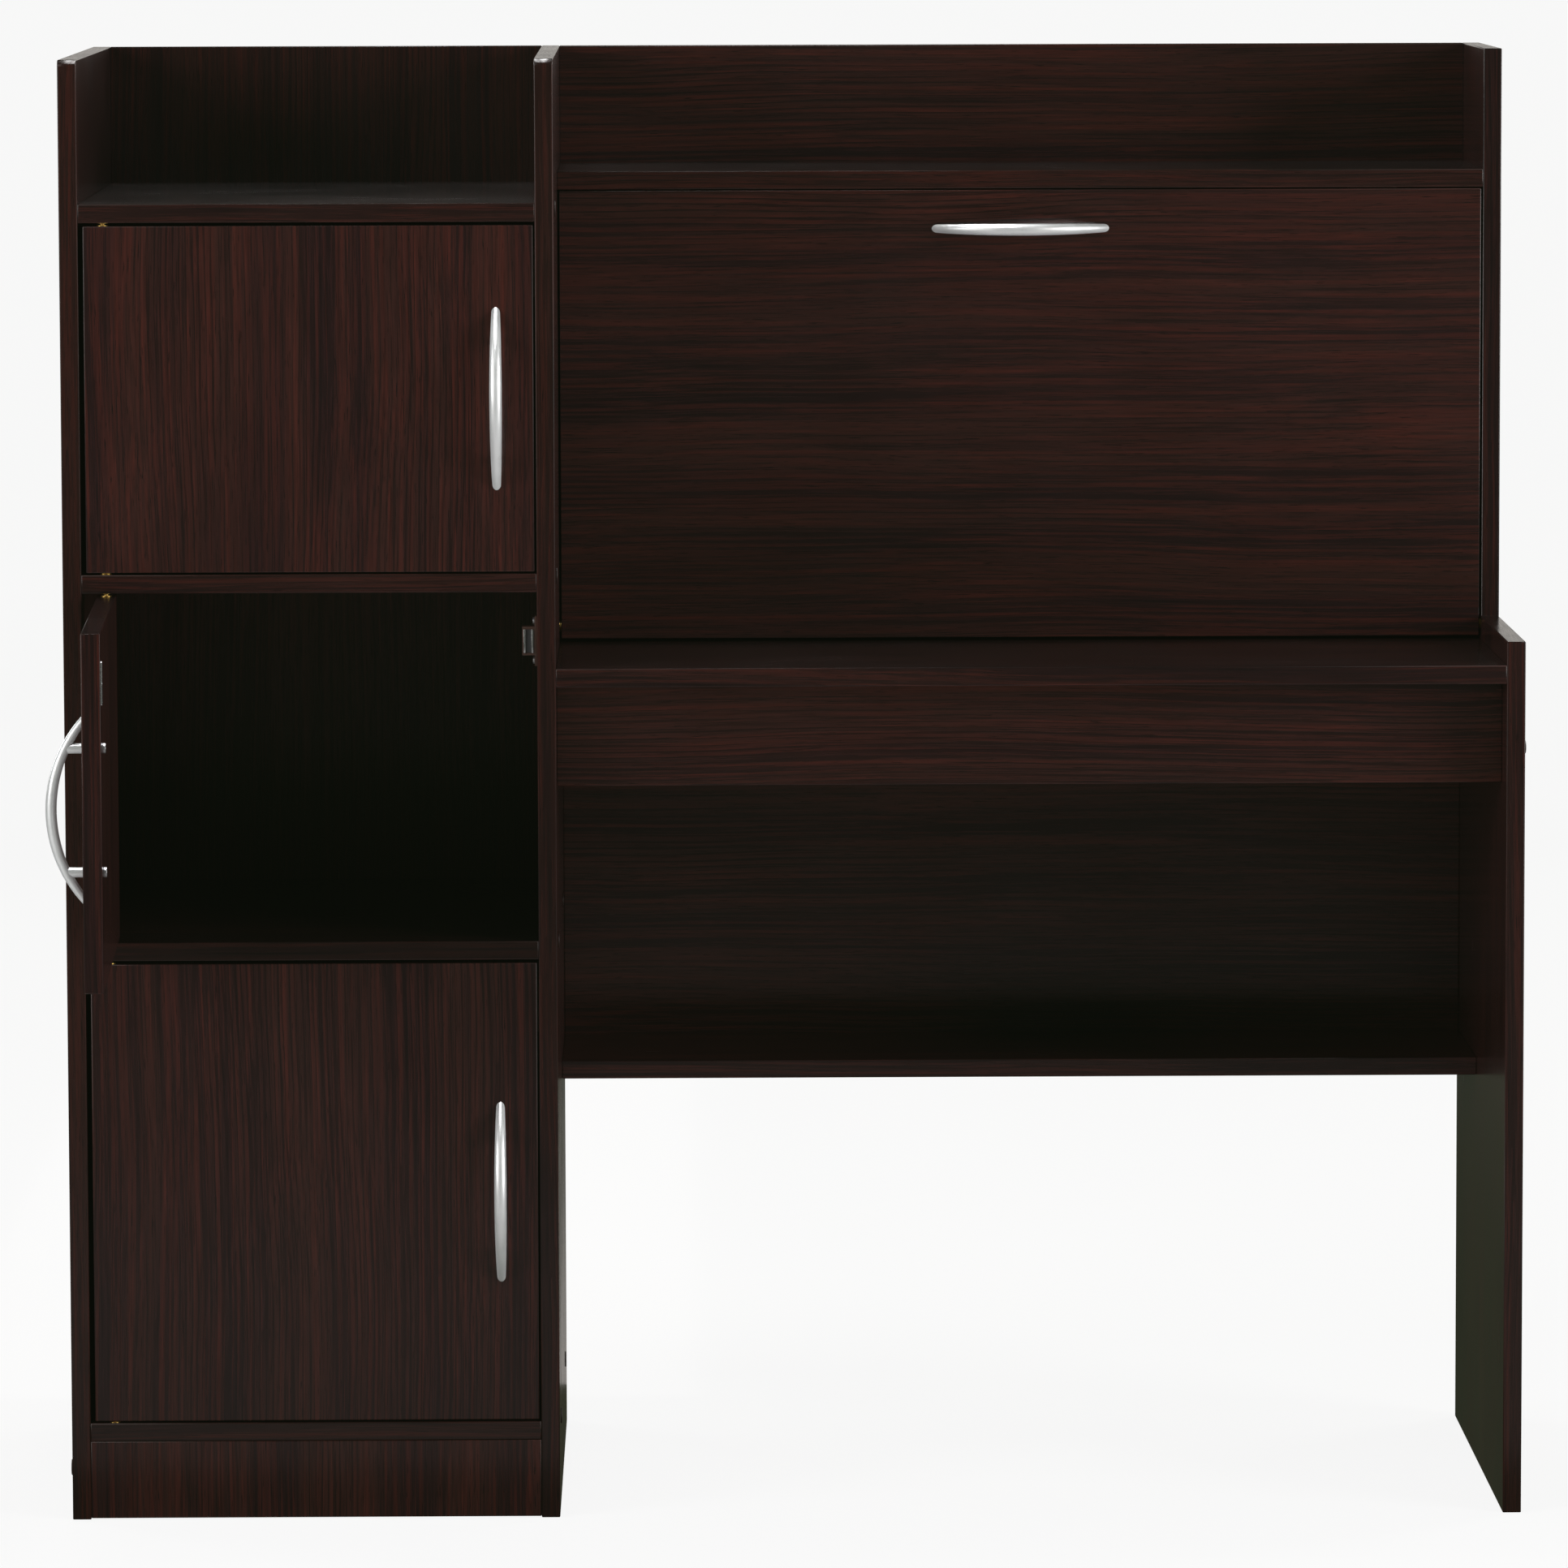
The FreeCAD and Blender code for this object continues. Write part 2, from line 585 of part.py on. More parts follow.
def make_cover_caps():
    """Flat caps over the screw heads that show, and one taller snap-on cap over the apron's outer screw.

    The plinth's screw in the divider has no cap, and neither have the screws inside the tower.
    """
    flat = domed_cap(value("Sizes.cap_diameter"), value("Sizes.cap_thickness"))
    tall = domed_cap(value("Sizes.cap_diameter"), value("Sizes.apron_cap_height"))
    apron_point = DESK_SCREWS["desk_apron"][0]
    plinth_point = TOWER_SCREWS["plinth_board"][0]
    left = [aimed(flat, (value(OUTER_LEFT), value(y), value(z)), (-1, 0, 0))
            for y, z in all_points(TOWER_SCREWS)]
    centre = [aimed(flat, (value(DIVIDER_RIGHT), value(y), value(z)), (1, 0, 0))
              for y, z in all_points(TOWER_SCREWS) if (y, z) != plinth_point]
    right = [aimed(flat, (value(OUTER_RIGHT), value(y), value(z)), (1, 0, 0))
             for y, z in all_points(DESK_SCREWS) if (y, z) != apron_point]
    group("screw_cover_caps", left + centre + right)
    y, z = apron_point
    group("apron_screw_cap", [aimed(tall, (value(OUTER_RIGHT), value(y), value(z)), (1, 0, 0))])


def make_dowels():
    """Dowels beside the single screws of the plinth and the apron."""
    dowel = turned([(value("Sizes.dowel_diameter"), value("Sizes.dowel_length"))])
    blind = value("Sizes.dowel_blind")
    solids = []
    for (y, z), left_face, right_face in ((PLINTH_DOWEL, TOWER_LEFT, DIVIDER_LEFT),
                                          (APRON_DOWEL, DIVIDER_RIGHT, DESK_RIGHT)):
        solids.append(aimed(dowel, (value(left_face) - blind, value(y), value(z)), (1, 0, 0)))
        solids.append(aimed(dowel, (value(right_face) + blind, value(y), value(z)), (-1, 0, 0)))
    group("board_dowels", solids)


def make_back_screws():
    """Small screws through the tower's back panel."""
    head = value("Sizes.back_screw_head_depth")
    screw = turned([(value("Sizes.back_screw_head"), head),
                    (value("Sizes.back_screw"), value("Sizes.back_screw_length") - head)])
    solids = [aimed(screw, (value(TOWER_LEFT) + value(inset), value(BACK), value(height)), (0, -1, 0))
              for height in BACK_SCREW_HEIGHTS for inset in BACK_SCREW_INSETS]
    group("back_panel_screws", solids)


# ---------------------------------------------------------------- pivots

def pivot_socket():
    """Flanged bush along +X: the flange lies on the board and the sleeve goes into it."""
    flange = value("Sizes.flange_thickness")
    return turned([(value("Sizes.flange_diameter"), flange),
                   (value("Sizes.sleeve_diameter"), value("Sizes.sleeve_length"))],
                  bore=value("Sizes.pin_diameter") + value("Sizes.pin_play"),
                  bore_depth=value("Sizes.sleeve_length"))


def pivot_pin(gap):
    """Flanged pin along +X, bare end first, whose sleeve goes into a board; gap is the space it bridges."""
    flange = value("Sizes.flange_thickness")
    reach = value(gap) - 2 * flange + value("Sizes.pin_length")
    return turned([(value("Sizes.pin_diameter"), reach), (value("Sizes.flange_diameter"), flange),
                   (value("Sizes.sleeve_diameter"), value("Sizes.sleeve_length"))])


def pin_start(gap):
    """Distance from a board's edge to the bare end of its pivot pin."""
    return value(gap) - value("Sizes.flange_thickness") + value("Sizes.pin_length")


class Door:
    """One tower door: the boards that it hangs between and how far it stands open."""

    def __init__(self, name, shelf_below, shelf_above, angle):
        self.name = name
        self.floor = shelf_below
        self.ceiling = f"({shelf_above} - Sizes.board)"
        self.angle = angle
        self.bottom = f"({self.floor} + Sizes.door_gap_bottom)"
        self.top = f"({self.ceiling} - Sizes.door_gap_top)"
        self.height = span(self.bottom, self.top)
        self.catch_height = f"({self.ceiling} - Sizes.catch_drop)"


DOORS = [
    Door("lower_door", "Sizes.bottom_board_top", "Sizes.lower_shelf_top", "0"),
    Door("middle_door", "Sizes.lower_shelf_top", "Sizes.middle_shelf_top", "Sizes.middle_door_angle"),
    Door("upper_door", "Sizes.middle_shelf_top", "Sizes.upper_shelf_top", "0"),
]


def make_pivot_sockets():
    """Sockets in the shelves for the doors, and in the divider and the side panel for the flap."""
    socket = pivot_socket()
    flange = value("Sizes.flange_thickness")
    x, y = value(DOOR_PIVOT_X), value(DOOR_PIVOT_Y)
    solids = []
    for door in DOORS:
        solids.append(aimed(socket, (x, y, value(door.floor) + flange), (0, 0, -1)))
        solids.append(aimed(socket, (x, y, value(door.ceiling) - flange), (0, 0, 1)))
    group("door_pivot_sockets", solids)
    y, z = value(FLAP_PIVOT_Y), value(FLAP_PIVOT_Z)
    group("flap_pivot_sockets", [aimed(socket, (value(DIVIDER_RIGHT) + flange, y, z), (-1, 0, 0)),
                                 aimed(socket, (value(DESK_RIGHT) - flange, y, z), (1, 0, 0))])


# ---------------------------------------------------------------- handles

# The bow is lofted a little past its ends, and the ends are then cut level with the door's face.
BOW_OVERRUN = 1.12
BOW_SHARES = (-1, -0.75, -0.5, -0.25, 0, 0.25, 0.5, 0.75, 1)


def bow_station(share):
    """Angle and place of the handle's bow at a share of the way from its middle to its end."""
    middle_rise = value("Sizes.handle_rise") - value("Sizes.handle_thickness") / 2
    half_chord = value("Sizes.handle_length") / 2 - value("Sizes.handle_tip_thickness") / 2
    radius = (half_chord ** 2 + middle_rise ** 2) / (2 * middle_rise)
    angle = share * BOW_OVERRUN * math.asin(half_chord / radius)
    along = radius * math.sin(angle)
    out = middle_rise - radius + radius * math.cos(angle)
    return angle, along, out


def swelling(tip, centre, swell):
    """Expression of a size that grows from the bow's tips to its middle."""
    return f"(Sizes.{tip} + (Sizes.{centre} - Sizes.{tip}) * {swell})"


def draw_bow_section(body, number, share):
    """An oval across the bow: its height lies across the door and its breadth along the bow's rise."""
    angle, along, out = bow_station(share)
    sketch = new_sketch(body, "YZ_Plane", f"{body.Label}_section_{number}")
    turn = FreeCAD.Rotation(FreeCAD.Vector(0, 1, 0), -math.degrees(angle))
    sketch.AttachmentOffset = FreeCAD.Placement(FreeCAD.Vector(out, 0, along), turn)
    swell = round(1 - share * share, 4)
    width = swelling("handle_tip_width", "handle_width", swell)
    thickness = swelling("handle_tip_thickness", "handle_thickness", swell)
    major = FreeCAD.Vector(0, value(width) / 2, 0)
    minor = FreeCAD.Vector(-value(thickness) / 2, 0, 0)
    sketch.addGeometry(Part.Ellipse(major, minor, FreeCAD.Vector(0, 0, 0)))
    sketch.exposeInternalGeometry(0)
    sketch.addConstraint(Sketcher.Constraint("Coincident", 0, 3, -1, 1))
    sketch.addConstraint(Sketcher.Constraint("Vertical", 1))
    constrain(sketch, width, "Distance", 1, 1, 1, 2)
    constrain(sketch, thickness, "Distance", 2, 1, 2, 2)
    return sketch


def make_handle(label):
    """A cast handle: an oval bow on two round posts, tapped for two screws.

    Its own frame has +X along the bow, +Y away from the door and the door's face at y = 0.
    """
    body = new_body(label)
    sections = [draw_bow_section(body, number, share) for number, share in enumerate(BOW_SHARES)]
    bow = body.newObject("PartDesign::AdditiveLoft", f"{label}_bow")
    bow.Profile = sections[0]
    bow.Sections = sections[1:]
    document.recompute()

    tips = new_sketch(body, "XZ_Plane", f"{label}_tips", "(-Sizes.handle_tip_gap)")
    draw_circle_pair(tips, "Sizes.handle_length", "(Sizes.handle_length / 2)")
    add_pocket(body, tips, "Sizes.handle_rise", along_normal=True)

    posts = new_sketch(body, "XZ_Plane", f"{label}_posts")
    draw_circle_pair(posts, "Sizes.handle_spacing", "Sizes.post_diameter")
    add_pad(body, posts, "Sizes.post_length", reversed_side=True)

    holes = new_sketch(body, "XZ_Plane", f"{label}_holes")
    draw_circle_pair(holes, "Sizes.handle_spacing", "(Sizes.handle_screw + Sizes.hole_play)")
    add_pocket(body, holes, "(Sizes.handle_screw_grip + Sizes.hole_overrun)")
    return body


# ---------------------------------------------------------------- catches

POLE_PLANE = f"({FRONT} + Sizes.board + Sizes.strike_thickness + Sizes.strike_gap)"
FLAP_POLE_PLANE = f"({HUTCH_FRONT} + Sizes.board + Sizes.strike_thickness + Sizes.strike_gap)"
CATCH_MIDDLE = "(Sizes.pole_proud + Sizes.catch_depth / 2)"
CATCH_HOLE = "(Sizes.catch_ear_height / 2 - Sizes.catch_hole_inset)"
POLE_OFFSET = "((Sizes.catch_base + Sizes.catch_reach) / 2)"


def block(low, high):
    """A box between two corners."""
    size = [top - bottom for bottom, top in zip(low, high)]
    return Part.makeBox(*size, FreeCAD.Vector(*low))


def catch_shapes():
    """A magnetic catch: body, pole plates, magnet and screws.

    Its own frame has +X away from the board that it is screwed to, +Y to the back with the pole plates'
    faces at y = 0, and z = 0 at its middle.
    """
    proud = value("Sizes.pole_proud")
    rear = proud + value("Sizes.catch_depth")
    base = value("Sizes.catch_base")
    reach = value("Sizes.catch_reach")
    ear = value("Sizes.catch_ear_height") / 2
    half_body = value("Sizes.catch_body_height") / 2
    half_pole = value("Sizes.pole_height") / 2
    plate = value("Sizes.pole_thickness")
    centre = value(POLE_OFFSET)
    outer = value("Sizes.pole_spacing") / 2 + plate / 2
    inner = outer - plate
    pole_end = rear - value("Sizes.catch_rear_wall")
    magnet_front = proud + value("Sizes.magnet_recess")
    hole = value("Sizes.small_screw") + value("Sizes.hole_play")
    head = (value("Sizes.small_screw_head"), value("Sizes.small_screw_head_height"))
    in_board = value("Sizes.small_screw_length") - value("Sizes.hole_overrun")
    screw = turned([head, (value("Sizes.small_screw"), base + in_board)])

    ears = block((0, proud, -ear), (base, rear, ear))
    case = ears.fuse(block((0, proud, -half_body), (reach, rear, half_body)))
    case = case.cut(block((centre - outer, proud, -half_pole), (centre + outer, pole_end, half_pole)))
    screws = []
    for side in (-1, 1):
        height = side * value(CATCH_HOLE)
        axis = FreeCAD.Vector(0, value(CATCH_MIDDLE), height)
        case = case.cut(Part.makeCylinder(hole / 2, base, axis, FreeCAD.Vector(1, 0, 0)))
        screws.append(aimed(screw, (base + head[1], value(CATCH_MIDDLE), height), (-1, 0, 0)))
    poles = [block((centre + low, 0, -half_pole), (centre + low + plate, pole_end, half_pole))
             for low in (-outer, inner)]
    magnet = [block((centre - inner, magnet_front, -half_pole), (centre + inner, pole_end, half_pole))]
    return {"catch_bodies": [case.removeSplitter()], "catch_pole_plates": poles,
            "catch_magnets": magnet, "catch_screws": screws}


def make_catches():
    """Catches on the divider behind each door, and under the hutch shelf behind the flap."""
    leftward = axes_turned((-1, 0, 0), (0, 1, 0), (0, 0, -1))
    down = axes_turned((0, 0, -1), (0, 1, 0), (1, 0, 0))
    places = []
    for door in DOORS:
        spot = FreeCAD.Vector(value(DIVIDER_LEFT), value(POLE_PLANE), value(door.catch_height))
        places.append(FreeCAD.Placement(spot, leftward))
    for along in flap_catch_middles():
        spot = FreeCAD.Vector(value(along), value(FLAP_POLE_PLANE), value(HUTCH_SHELF_BOTTOM))
        places.append(FreeCAD.Placement(spot, down))
    for label, solids in catch_shapes().items():
        group(label, [placed(solid, spot) for spot in places for solid in solids])


def axes_turned(x, y, z):
    """The turn that carries the three axes to the given directions."""
    return FreeCAD.Rotation(FreeCAD.Vector(*x), FreeCAD.Vector(*y), FreeCAD.Vector(*z), "XYZ")


def placed(solid, spot):
    """A copy of a solid, moved by a placement that is applied after its own."""
    copy = solid.copy()
    copy.Placement = spot.multiply(copy.Placement)
    return copy


def flap_catch_middles():
    return [f"({DIVIDER_RIGHT} + Sizes.flap_catch_inset)", f"({DESK_RIGHT} - Sizes.flap_catch_inset)"]


def flap_catch_screws():
    """Places of the flap catches' screws in the shelf above, as (x, y) pairs."""
    deep = f"({FLAP_POLE_PLANE} + {CATCH_MIDDLE})"
    return [(f"({along} {sign} {CATCH_HOLE})", deep) for along in flap_catch_middles() for sign in "-+"]


def drill_catch_screws(body, door):
    """Pilot holes of a door's catch in the divider's left face."""
    deep = f"({POLE_PLANE} + {CATCH_MIDDLE} - {FRONT})"
    places = [(deep, f"({door.catch_height} {sign} {CATCH_HOLE})") for sign in "-+"]
    drill(body, "YZ_Plane", f"{door.name}_catch", places, "(Sizes.small_screw + Sizes.hole_play)",
          "Sizes.small_screw_length", along_normal=True)


def strike_shapes(along_x):
    """A strike plate and its flush screw, flat against y = 0 and standing proud towards +Y."""
    long_half = value("Sizes.strike_height") / 2
    short_half = value("Sizes.strike_width") / 2
    thick = value("Sizes.strike_thickness")
    half = (long_half, short_half) if along_x else (short_half, long_half)
    head = value("Sizes.strike_screw_head")
    hole = head + value("Sizes.hole_play")
    in_board = value("Sizes.small_screw_length") - value("Sizes.hole_overrun")
    plate = block((-half[0], 0, -half[1]), (half[0], thick, half[1]))
    upright = [edge for edge in plate.Edges if abs(edge.tangentAt(edge.FirstParameter).y) > 0.99]
    plate = plate.makeFillet(value("Sizes.strike_corner"), upright)
    plate = plate.cut(Part.makeCylinder(hole / 2, thick, FreeCAD.Vector(0, 0, 0), FreeCAD.Vector(0, 1, 0)))
    screw = turned([(head, thick), (value("Sizes.small_screw"), in_board)])
    return plate, aimed(screw, (0, thick, 0), (0, -1, 0))


# ---------------------------------------------------------------- doors

def hang(part, door):
    """Puts a door's part, drawn in the door's frame, on its pivots at the angle that the door stands open."""
    pivot = FreeCAD.Vector(value(DOOR_PIVOT_X), value(DOOR_PIVOT_Y), value(door.bottom))
    swing = FreeCAD.Rotation(FreeCAD.Vector(0, 0, 1), -value(door.angle))
    corner = FreeCAD.Vector(-value("Sizes.door_pivot_inset"), -value("Sizes.board") / 2, 0)
    frame = FreeCAD.Placement(pivot, swing).multiply(FreeCAD.Placement(corner, FreeCAD.Rotation()))
    part.Placement = frame.multiply(part.Placement)


def handle_screws(points):
    """Pan-head screws from a board's inner face into a handle's posts; points are (x, z) pairs."""
    screw = turned([(value("Sizes.pan_head_diameter"), value("Sizes.pan_head_height")),
                    (value("Sizes.handle_screw"), value("Sizes.board") + value("Sizes.handle_screw_grip"))])
    start = value("Sizes.board") + value("Sizes.pan_head_height")
    return [aimed(screw, (x, start, z), (0, -1, 0)) for x, z in points]


HANDLE_HOLE = "(Sizes.handle_screw + Sizes.hole_play)"
STRIKE_HOLE = "(Sizes.small_screw + Sizes.hole_play)"
SLEEVE_HOLE = "(Sizes.sleeve_diameter + Sizes.hole_play)"
SLEEVE_SEAT = "(Sizes.sleeve_length + Sizes.hole_play)"

# Places in a door's own frame: +X from the hinge edge, +Y from the outer face inwards, +Z up from its bottom.
HANDLE_X = f"({DOOR_WIDTH} - Sizes.handle_edge_distance)"
STRIKE_X = f"({DOOR_WIDTH} + Sizes.door_gap_free - {POLE_OFFSET})"
PIVOT_X = "Sizes.door_pivot_inset"
PIVOT_Y = "(Sizes.board / 2)"


def make_door_panel(door, handle_heights, strike_height):
    name = door.name
    panel = loose_board(f"{name}_panel", DOOR_WIDTH, "Sizes.board", door.height)
    drill(panel, "XZ_Plane", f"{name}_handle_holes", [(HANDLE_X, height) for height in handle_heights],
          HANDLE_HOLE, "Sizes.board")
    drill(panel, "XZ_Plane", f"{name}_strike_hole", [(STRIKE_X, strike_height)], STRIKE_HOLE,
          "Sizes.small_screw_length", offset="(-Sizes.board)", along_normal=True)
    drill(panel, "XY_Plane", f"{name}_lower_pivot", [(PIVOT_X, PIVOT_Y)], SLEEVE_HOLE, SLEEVE_SEAT,
          along_normal=True)
    drill(panel, "XY_Plane", f"{name}_upper_pivot", [(PIVOT_X, PIVOT_Y)], SLEEVE_HOLE, SLEEVE_SEAT,
          offset=door.height)
    hang(panel, door)


def make_door(door):
    """One door with its handle, its pivot pins and its strike plate."""
    name = door.name
    handle_heights = [f"({door.height} / 2 {sign} Sizes.handle_spacing / 2)" for sign in "-+"]
    strike_height = f"({door.catch_height} - {door.bottom})"
    make_door_panel(door, handle_heights, strike_height)

    handle = make_handle(f"{name}_handle")
    upright = axes_turned((0, 0, 1), (0, -1, 0), (1, 0, 0))
    centre = FreeCAD.Vector(value(HANDLE_X), 0, value(door.height) / 2)
    handle.Placement = FreeCAD.Placement(centre, upright)
    hang(handle, door)
    screws = handle_screws([(value(HANDLE_X), value(height)) for height in handle_heights])
    hang(group(f"{name}_handle_screws", screws), door)

    x, y, top = value(PIVOT_X), value(PIVOT_Y), value(door.height)
    low_gap, high_gap = "Sizes.door_gap_bottom", "Sizes.door_gap_top"
    pins = [aimed(pivot_pin(low_gap), (x, y, -pin_start(low_gap)), (0, 0, 1)),
            aimed(pivot_pin(high_gap), (x, y, top + pin_start(high_gap)), (0, 0, -1))]
    hang(group(f"{name}_pivot_pins", pins), door)

    inner_face = FreeCAD.Vector(value(STRIKE_X), value("Sizes.board"), value(strike_height))
    spot = FreeCAD.Placement(inner_face, FreeCAD.Rotation())
    plate, screw = strike_shapes(along_x=False)
    hang(group(f"{name}_strike_plate", [placed(plate, spot)]), door)
    hang(group(f"{name}_strike_screw", [placed(screw, spot)]), door)


# ---------------------------------------------------------------- flap

# Places in the flap's own frame: +X from its left edge, +Y from its outer face inwards, +Z from its bottom.
FLAP_LEFT = f"({DIVIDER_RIGHT} + Sizes.flap_gap_side)"
FLAP_HANDLE_Z = f"({FLAP_HEIGHT} - Sizes.flap_handle_drop)"
FLAP_HANDLE_X = [f"({FLAP_WIDTH} / 2 {sign} Sizes.handle_spacing / 2)" for sign in "-+"]
FLAP_STRIKE_Z = f"({FLAP_HEIGHT} + Sizes.flap_gap_top - {POLE_OFFSET})"
FLAP_STRIKE_X = [f"({along} - {FLAP_LEFT})" for along in flap_catch_middles()]
FLAP_PIVOT = ("(Sizes.board / 2)", "Sizes.flap_pivot_inset")


def make_flap_panel():
    panel = loose_board("flap_panel", FLAP_WIDTH, "Sizes.board", FLAP_HEIGHT)
    drill(panel, "XZ_Plane", "flap_handle_holes", [(x, FLAP_HANDLE_Z) for x in FLAP_HANDLE_X],
          HANDLE_HOLE, "Sizes.board")
    drill(panel, "XZ_Plane", "flap_strike_holes", [(x, FLAP_STRIKE_Z) for x in FLAP_STRIKE_X],
          STRIKE_HOLE, "Sizes.small_screw_length", offset="(-Sizes.board)", along_normal=True)
    drill(panel, "YZ_Plane", "flap_left_pivot", [FLAP_PIVOT], SLEEVE_HOLE, SLEEVE_SEAT, along_normal=True)
    drill(panel, "YZ_Plane", "flap_right_pivot", [FLAP_PIVOT], SLEEVE_HOLE, SLEEVE_SEAT, offset=FLAP_WIDTH)
    place(panel, FLAP_LEFT, HUTCH_FRONT, FLAP_BOTTOM)


def make_flap():
    """The fall-front flap with its handle, its pivot pins and its strike plates, drawn shut."""
    make_flap_panel()
    corner = FreeCAD.Vector(value(FLAP_LEFT), value(HUTCH_FRONT), value(FLAP_BOTTOM))
    origin = FreeCAD.Placement(corner, FreeCAD.Rotation())

    handle = make_handle("flap_handle")
    level = axes_turned((1, 0, 0), (0, -1, 0), (0, 0, -1))
    centre = FreeCAD.Vector(value(FLAP_WIDTH) / 2, 0, value(FLAP_HANDLE_Z))
    handle.Placement = origin.multiply(FreeCAD.Placement(centre, level))
    screws = handle_screws([(value(x), value(FLAP_HANDLE_Z)) for x in FLAP_HANDLE_X])
    group("flap_handle_screws", screws).Placement = origin

    gap = "Sizes.flap_gap_side"
    y, z = value(FLAP_PIVOT[0]), value(FLAP_PIVOT[1])
    pins = [aimed(pivot_pin(gap), (-pin_start(gap), y, z), (1, 0, 0)),
            aimed(pivot_pin(gap), (value(FLAP_WIDTH) + pin_start(gap), y, z), (-1, 0, 0))]
    group("flap_pivot_pins", pins).Placement = origin

    plate, screw = strike_shapes(along_x=True)
    plates, plate_screws = [], []
    for x in FLAP_STRIKE_X:
        inner_face = FreeCAD.Vector(value(x), value("Sizes.board"), value(FLAP_STRIKE_Z))
        spot = FreeCAD.Placement(inner_face, FreeCAD.Rotation())
        plates.append(placed(plate, spot))
        plate_screws.append(placed(screw, spot))
    group("flap_strike_plates", plates).Placement = origin
    group("flap_strike_screws", plate_screws).Placement = origin


# ---------------------------------------------------------------- the whole desk

def check_document():
    """Stops if an object failed to build or a part has no valid shape."""
    document.recompute()
    for item in document.Objects:
        if {"Invalid", "Error"} & set(item.State):
            raise RuntimeError(f"{item.Label} failed: {item.State}")
    for part in parts:
        if part.Shape.isNull() or not part.Shape.isValid():
            raise RuntimeError(f"{part.Label} has no valid shape")


def export_parts():
    """Writes each part's shape to its own file."""
    os.makedirs("parts", exist_ok=True)
    for part in parts:
        part.Shape.exportStep(f"parts/{part.Label}.step")
        box = part.Shape.BoundBox
        print(f"{part.Label:26s} solids {len(part.Shape.Solids):3d}  volume {part.Shape.Volume:12.0f}  "
              f"x {box.XMin:7.1f} {box.XMax:7.1f}  y {box.YMin:7.1f} {box.YMax:7.1f}  "
              f"z {box.ZMin:7.1f} {box.ZMax:7.1f}")


make_left_side_panel()
make_centre_divider()
make_right_side_panel()
make_boards()
make_assembly_screws()
make_cover_caps()
make_dowels()
make_back_screws()
make_pivot_sockets()
make_catches()
for door in DOORS:
    make_door(door)
make_flap()
check_document()
export_parts()
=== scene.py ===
import json
import math

import bmesh
import bpy
from mathutils import Matrix, Vector

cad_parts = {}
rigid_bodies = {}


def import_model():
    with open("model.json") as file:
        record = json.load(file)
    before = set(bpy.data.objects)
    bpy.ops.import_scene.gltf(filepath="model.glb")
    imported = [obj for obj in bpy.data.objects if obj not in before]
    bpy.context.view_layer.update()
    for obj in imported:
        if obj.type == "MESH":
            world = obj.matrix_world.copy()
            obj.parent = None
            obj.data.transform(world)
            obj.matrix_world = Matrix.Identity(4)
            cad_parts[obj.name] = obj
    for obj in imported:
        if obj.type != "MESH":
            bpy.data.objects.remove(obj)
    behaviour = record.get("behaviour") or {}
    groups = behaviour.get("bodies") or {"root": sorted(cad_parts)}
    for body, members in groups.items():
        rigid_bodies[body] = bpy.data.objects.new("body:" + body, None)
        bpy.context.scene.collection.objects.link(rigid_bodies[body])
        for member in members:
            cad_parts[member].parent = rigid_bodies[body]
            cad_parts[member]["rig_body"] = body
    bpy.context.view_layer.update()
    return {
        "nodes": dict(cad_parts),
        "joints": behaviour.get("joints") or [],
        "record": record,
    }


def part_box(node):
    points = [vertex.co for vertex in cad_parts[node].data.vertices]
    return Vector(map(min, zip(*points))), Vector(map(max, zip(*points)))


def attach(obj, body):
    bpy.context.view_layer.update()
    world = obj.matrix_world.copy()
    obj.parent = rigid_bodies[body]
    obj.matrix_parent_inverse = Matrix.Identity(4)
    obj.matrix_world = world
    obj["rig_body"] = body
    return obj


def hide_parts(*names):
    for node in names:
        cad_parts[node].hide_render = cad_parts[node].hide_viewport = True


# Looks of the secretary desk: dark wood-grain laminate boards with softened edges, satin handles, brass
# pivots and plastic catches, in a pale studio. Lengths are in metres and the axes are the CAD frame's.

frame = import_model()
scene = bpy.context.scene
AXES = {"x": 0, "y": 1, "z": 2}

# Camera, seen from the front and a little to the right of the divider.
CAMERA_PLACE = (0.1064, -7.452, 1.3575)
CAMERA_TURN = 0.01165
CAMERA_DROP = 0.10478
CAMERA_ROLL = 0.00285
CAMERA_LENS = 207.4
CAMERA_SENSOR = 36.0
CAMERA_REACH = 60.0

# How meshes are cleaned and shaded: the merging distance, and angles in degrees.
MERGE_GAP = 1e-6
FLAT_JOIN = 0.5
SHADING_EDGE = 35
BEVEL_STEPS = 2

# Boards: the softened edges, the rounded top front corners, and how square a flat face is to its axis.
EDGE_RADIUS = 0.0008
PANEL_CORNER = 0.005
SHORTEST_OUTER_EDGE = 0.004
OUTER_EDGE_ANGLE = 30
FLAT_SHARE = 0.9999


# ---------------------------------------------------------------- shader helpers

def colour(red, green, blue):
    """A screen colour, given in steps of 255, as the linear colour that shaders use."""
    def linear(step):
        share = step / 255
        return share / 12.92 if share <= 0.04045 else ((share + 0.055) / 1.055) ** 2.4
    return (linear(red), linear(green), linear(blue), 1.0)


def add(tree, kind, inputs=None, **settings):
    """Adds a node. Inputs maps a socket's name or number to a plain value or to another node's output."""
    node = tree.nodes.new(kind)
    for name, setting in settings.items():
        setattr(node, name, setting)
    for key, given in (inputs or {}).items():
        if isinstance(given, bpy.types.NodeSocket):
            tree.links.new(given, node.inputs[key])
        else:
            node.inputs[key].default_value = given
    return node


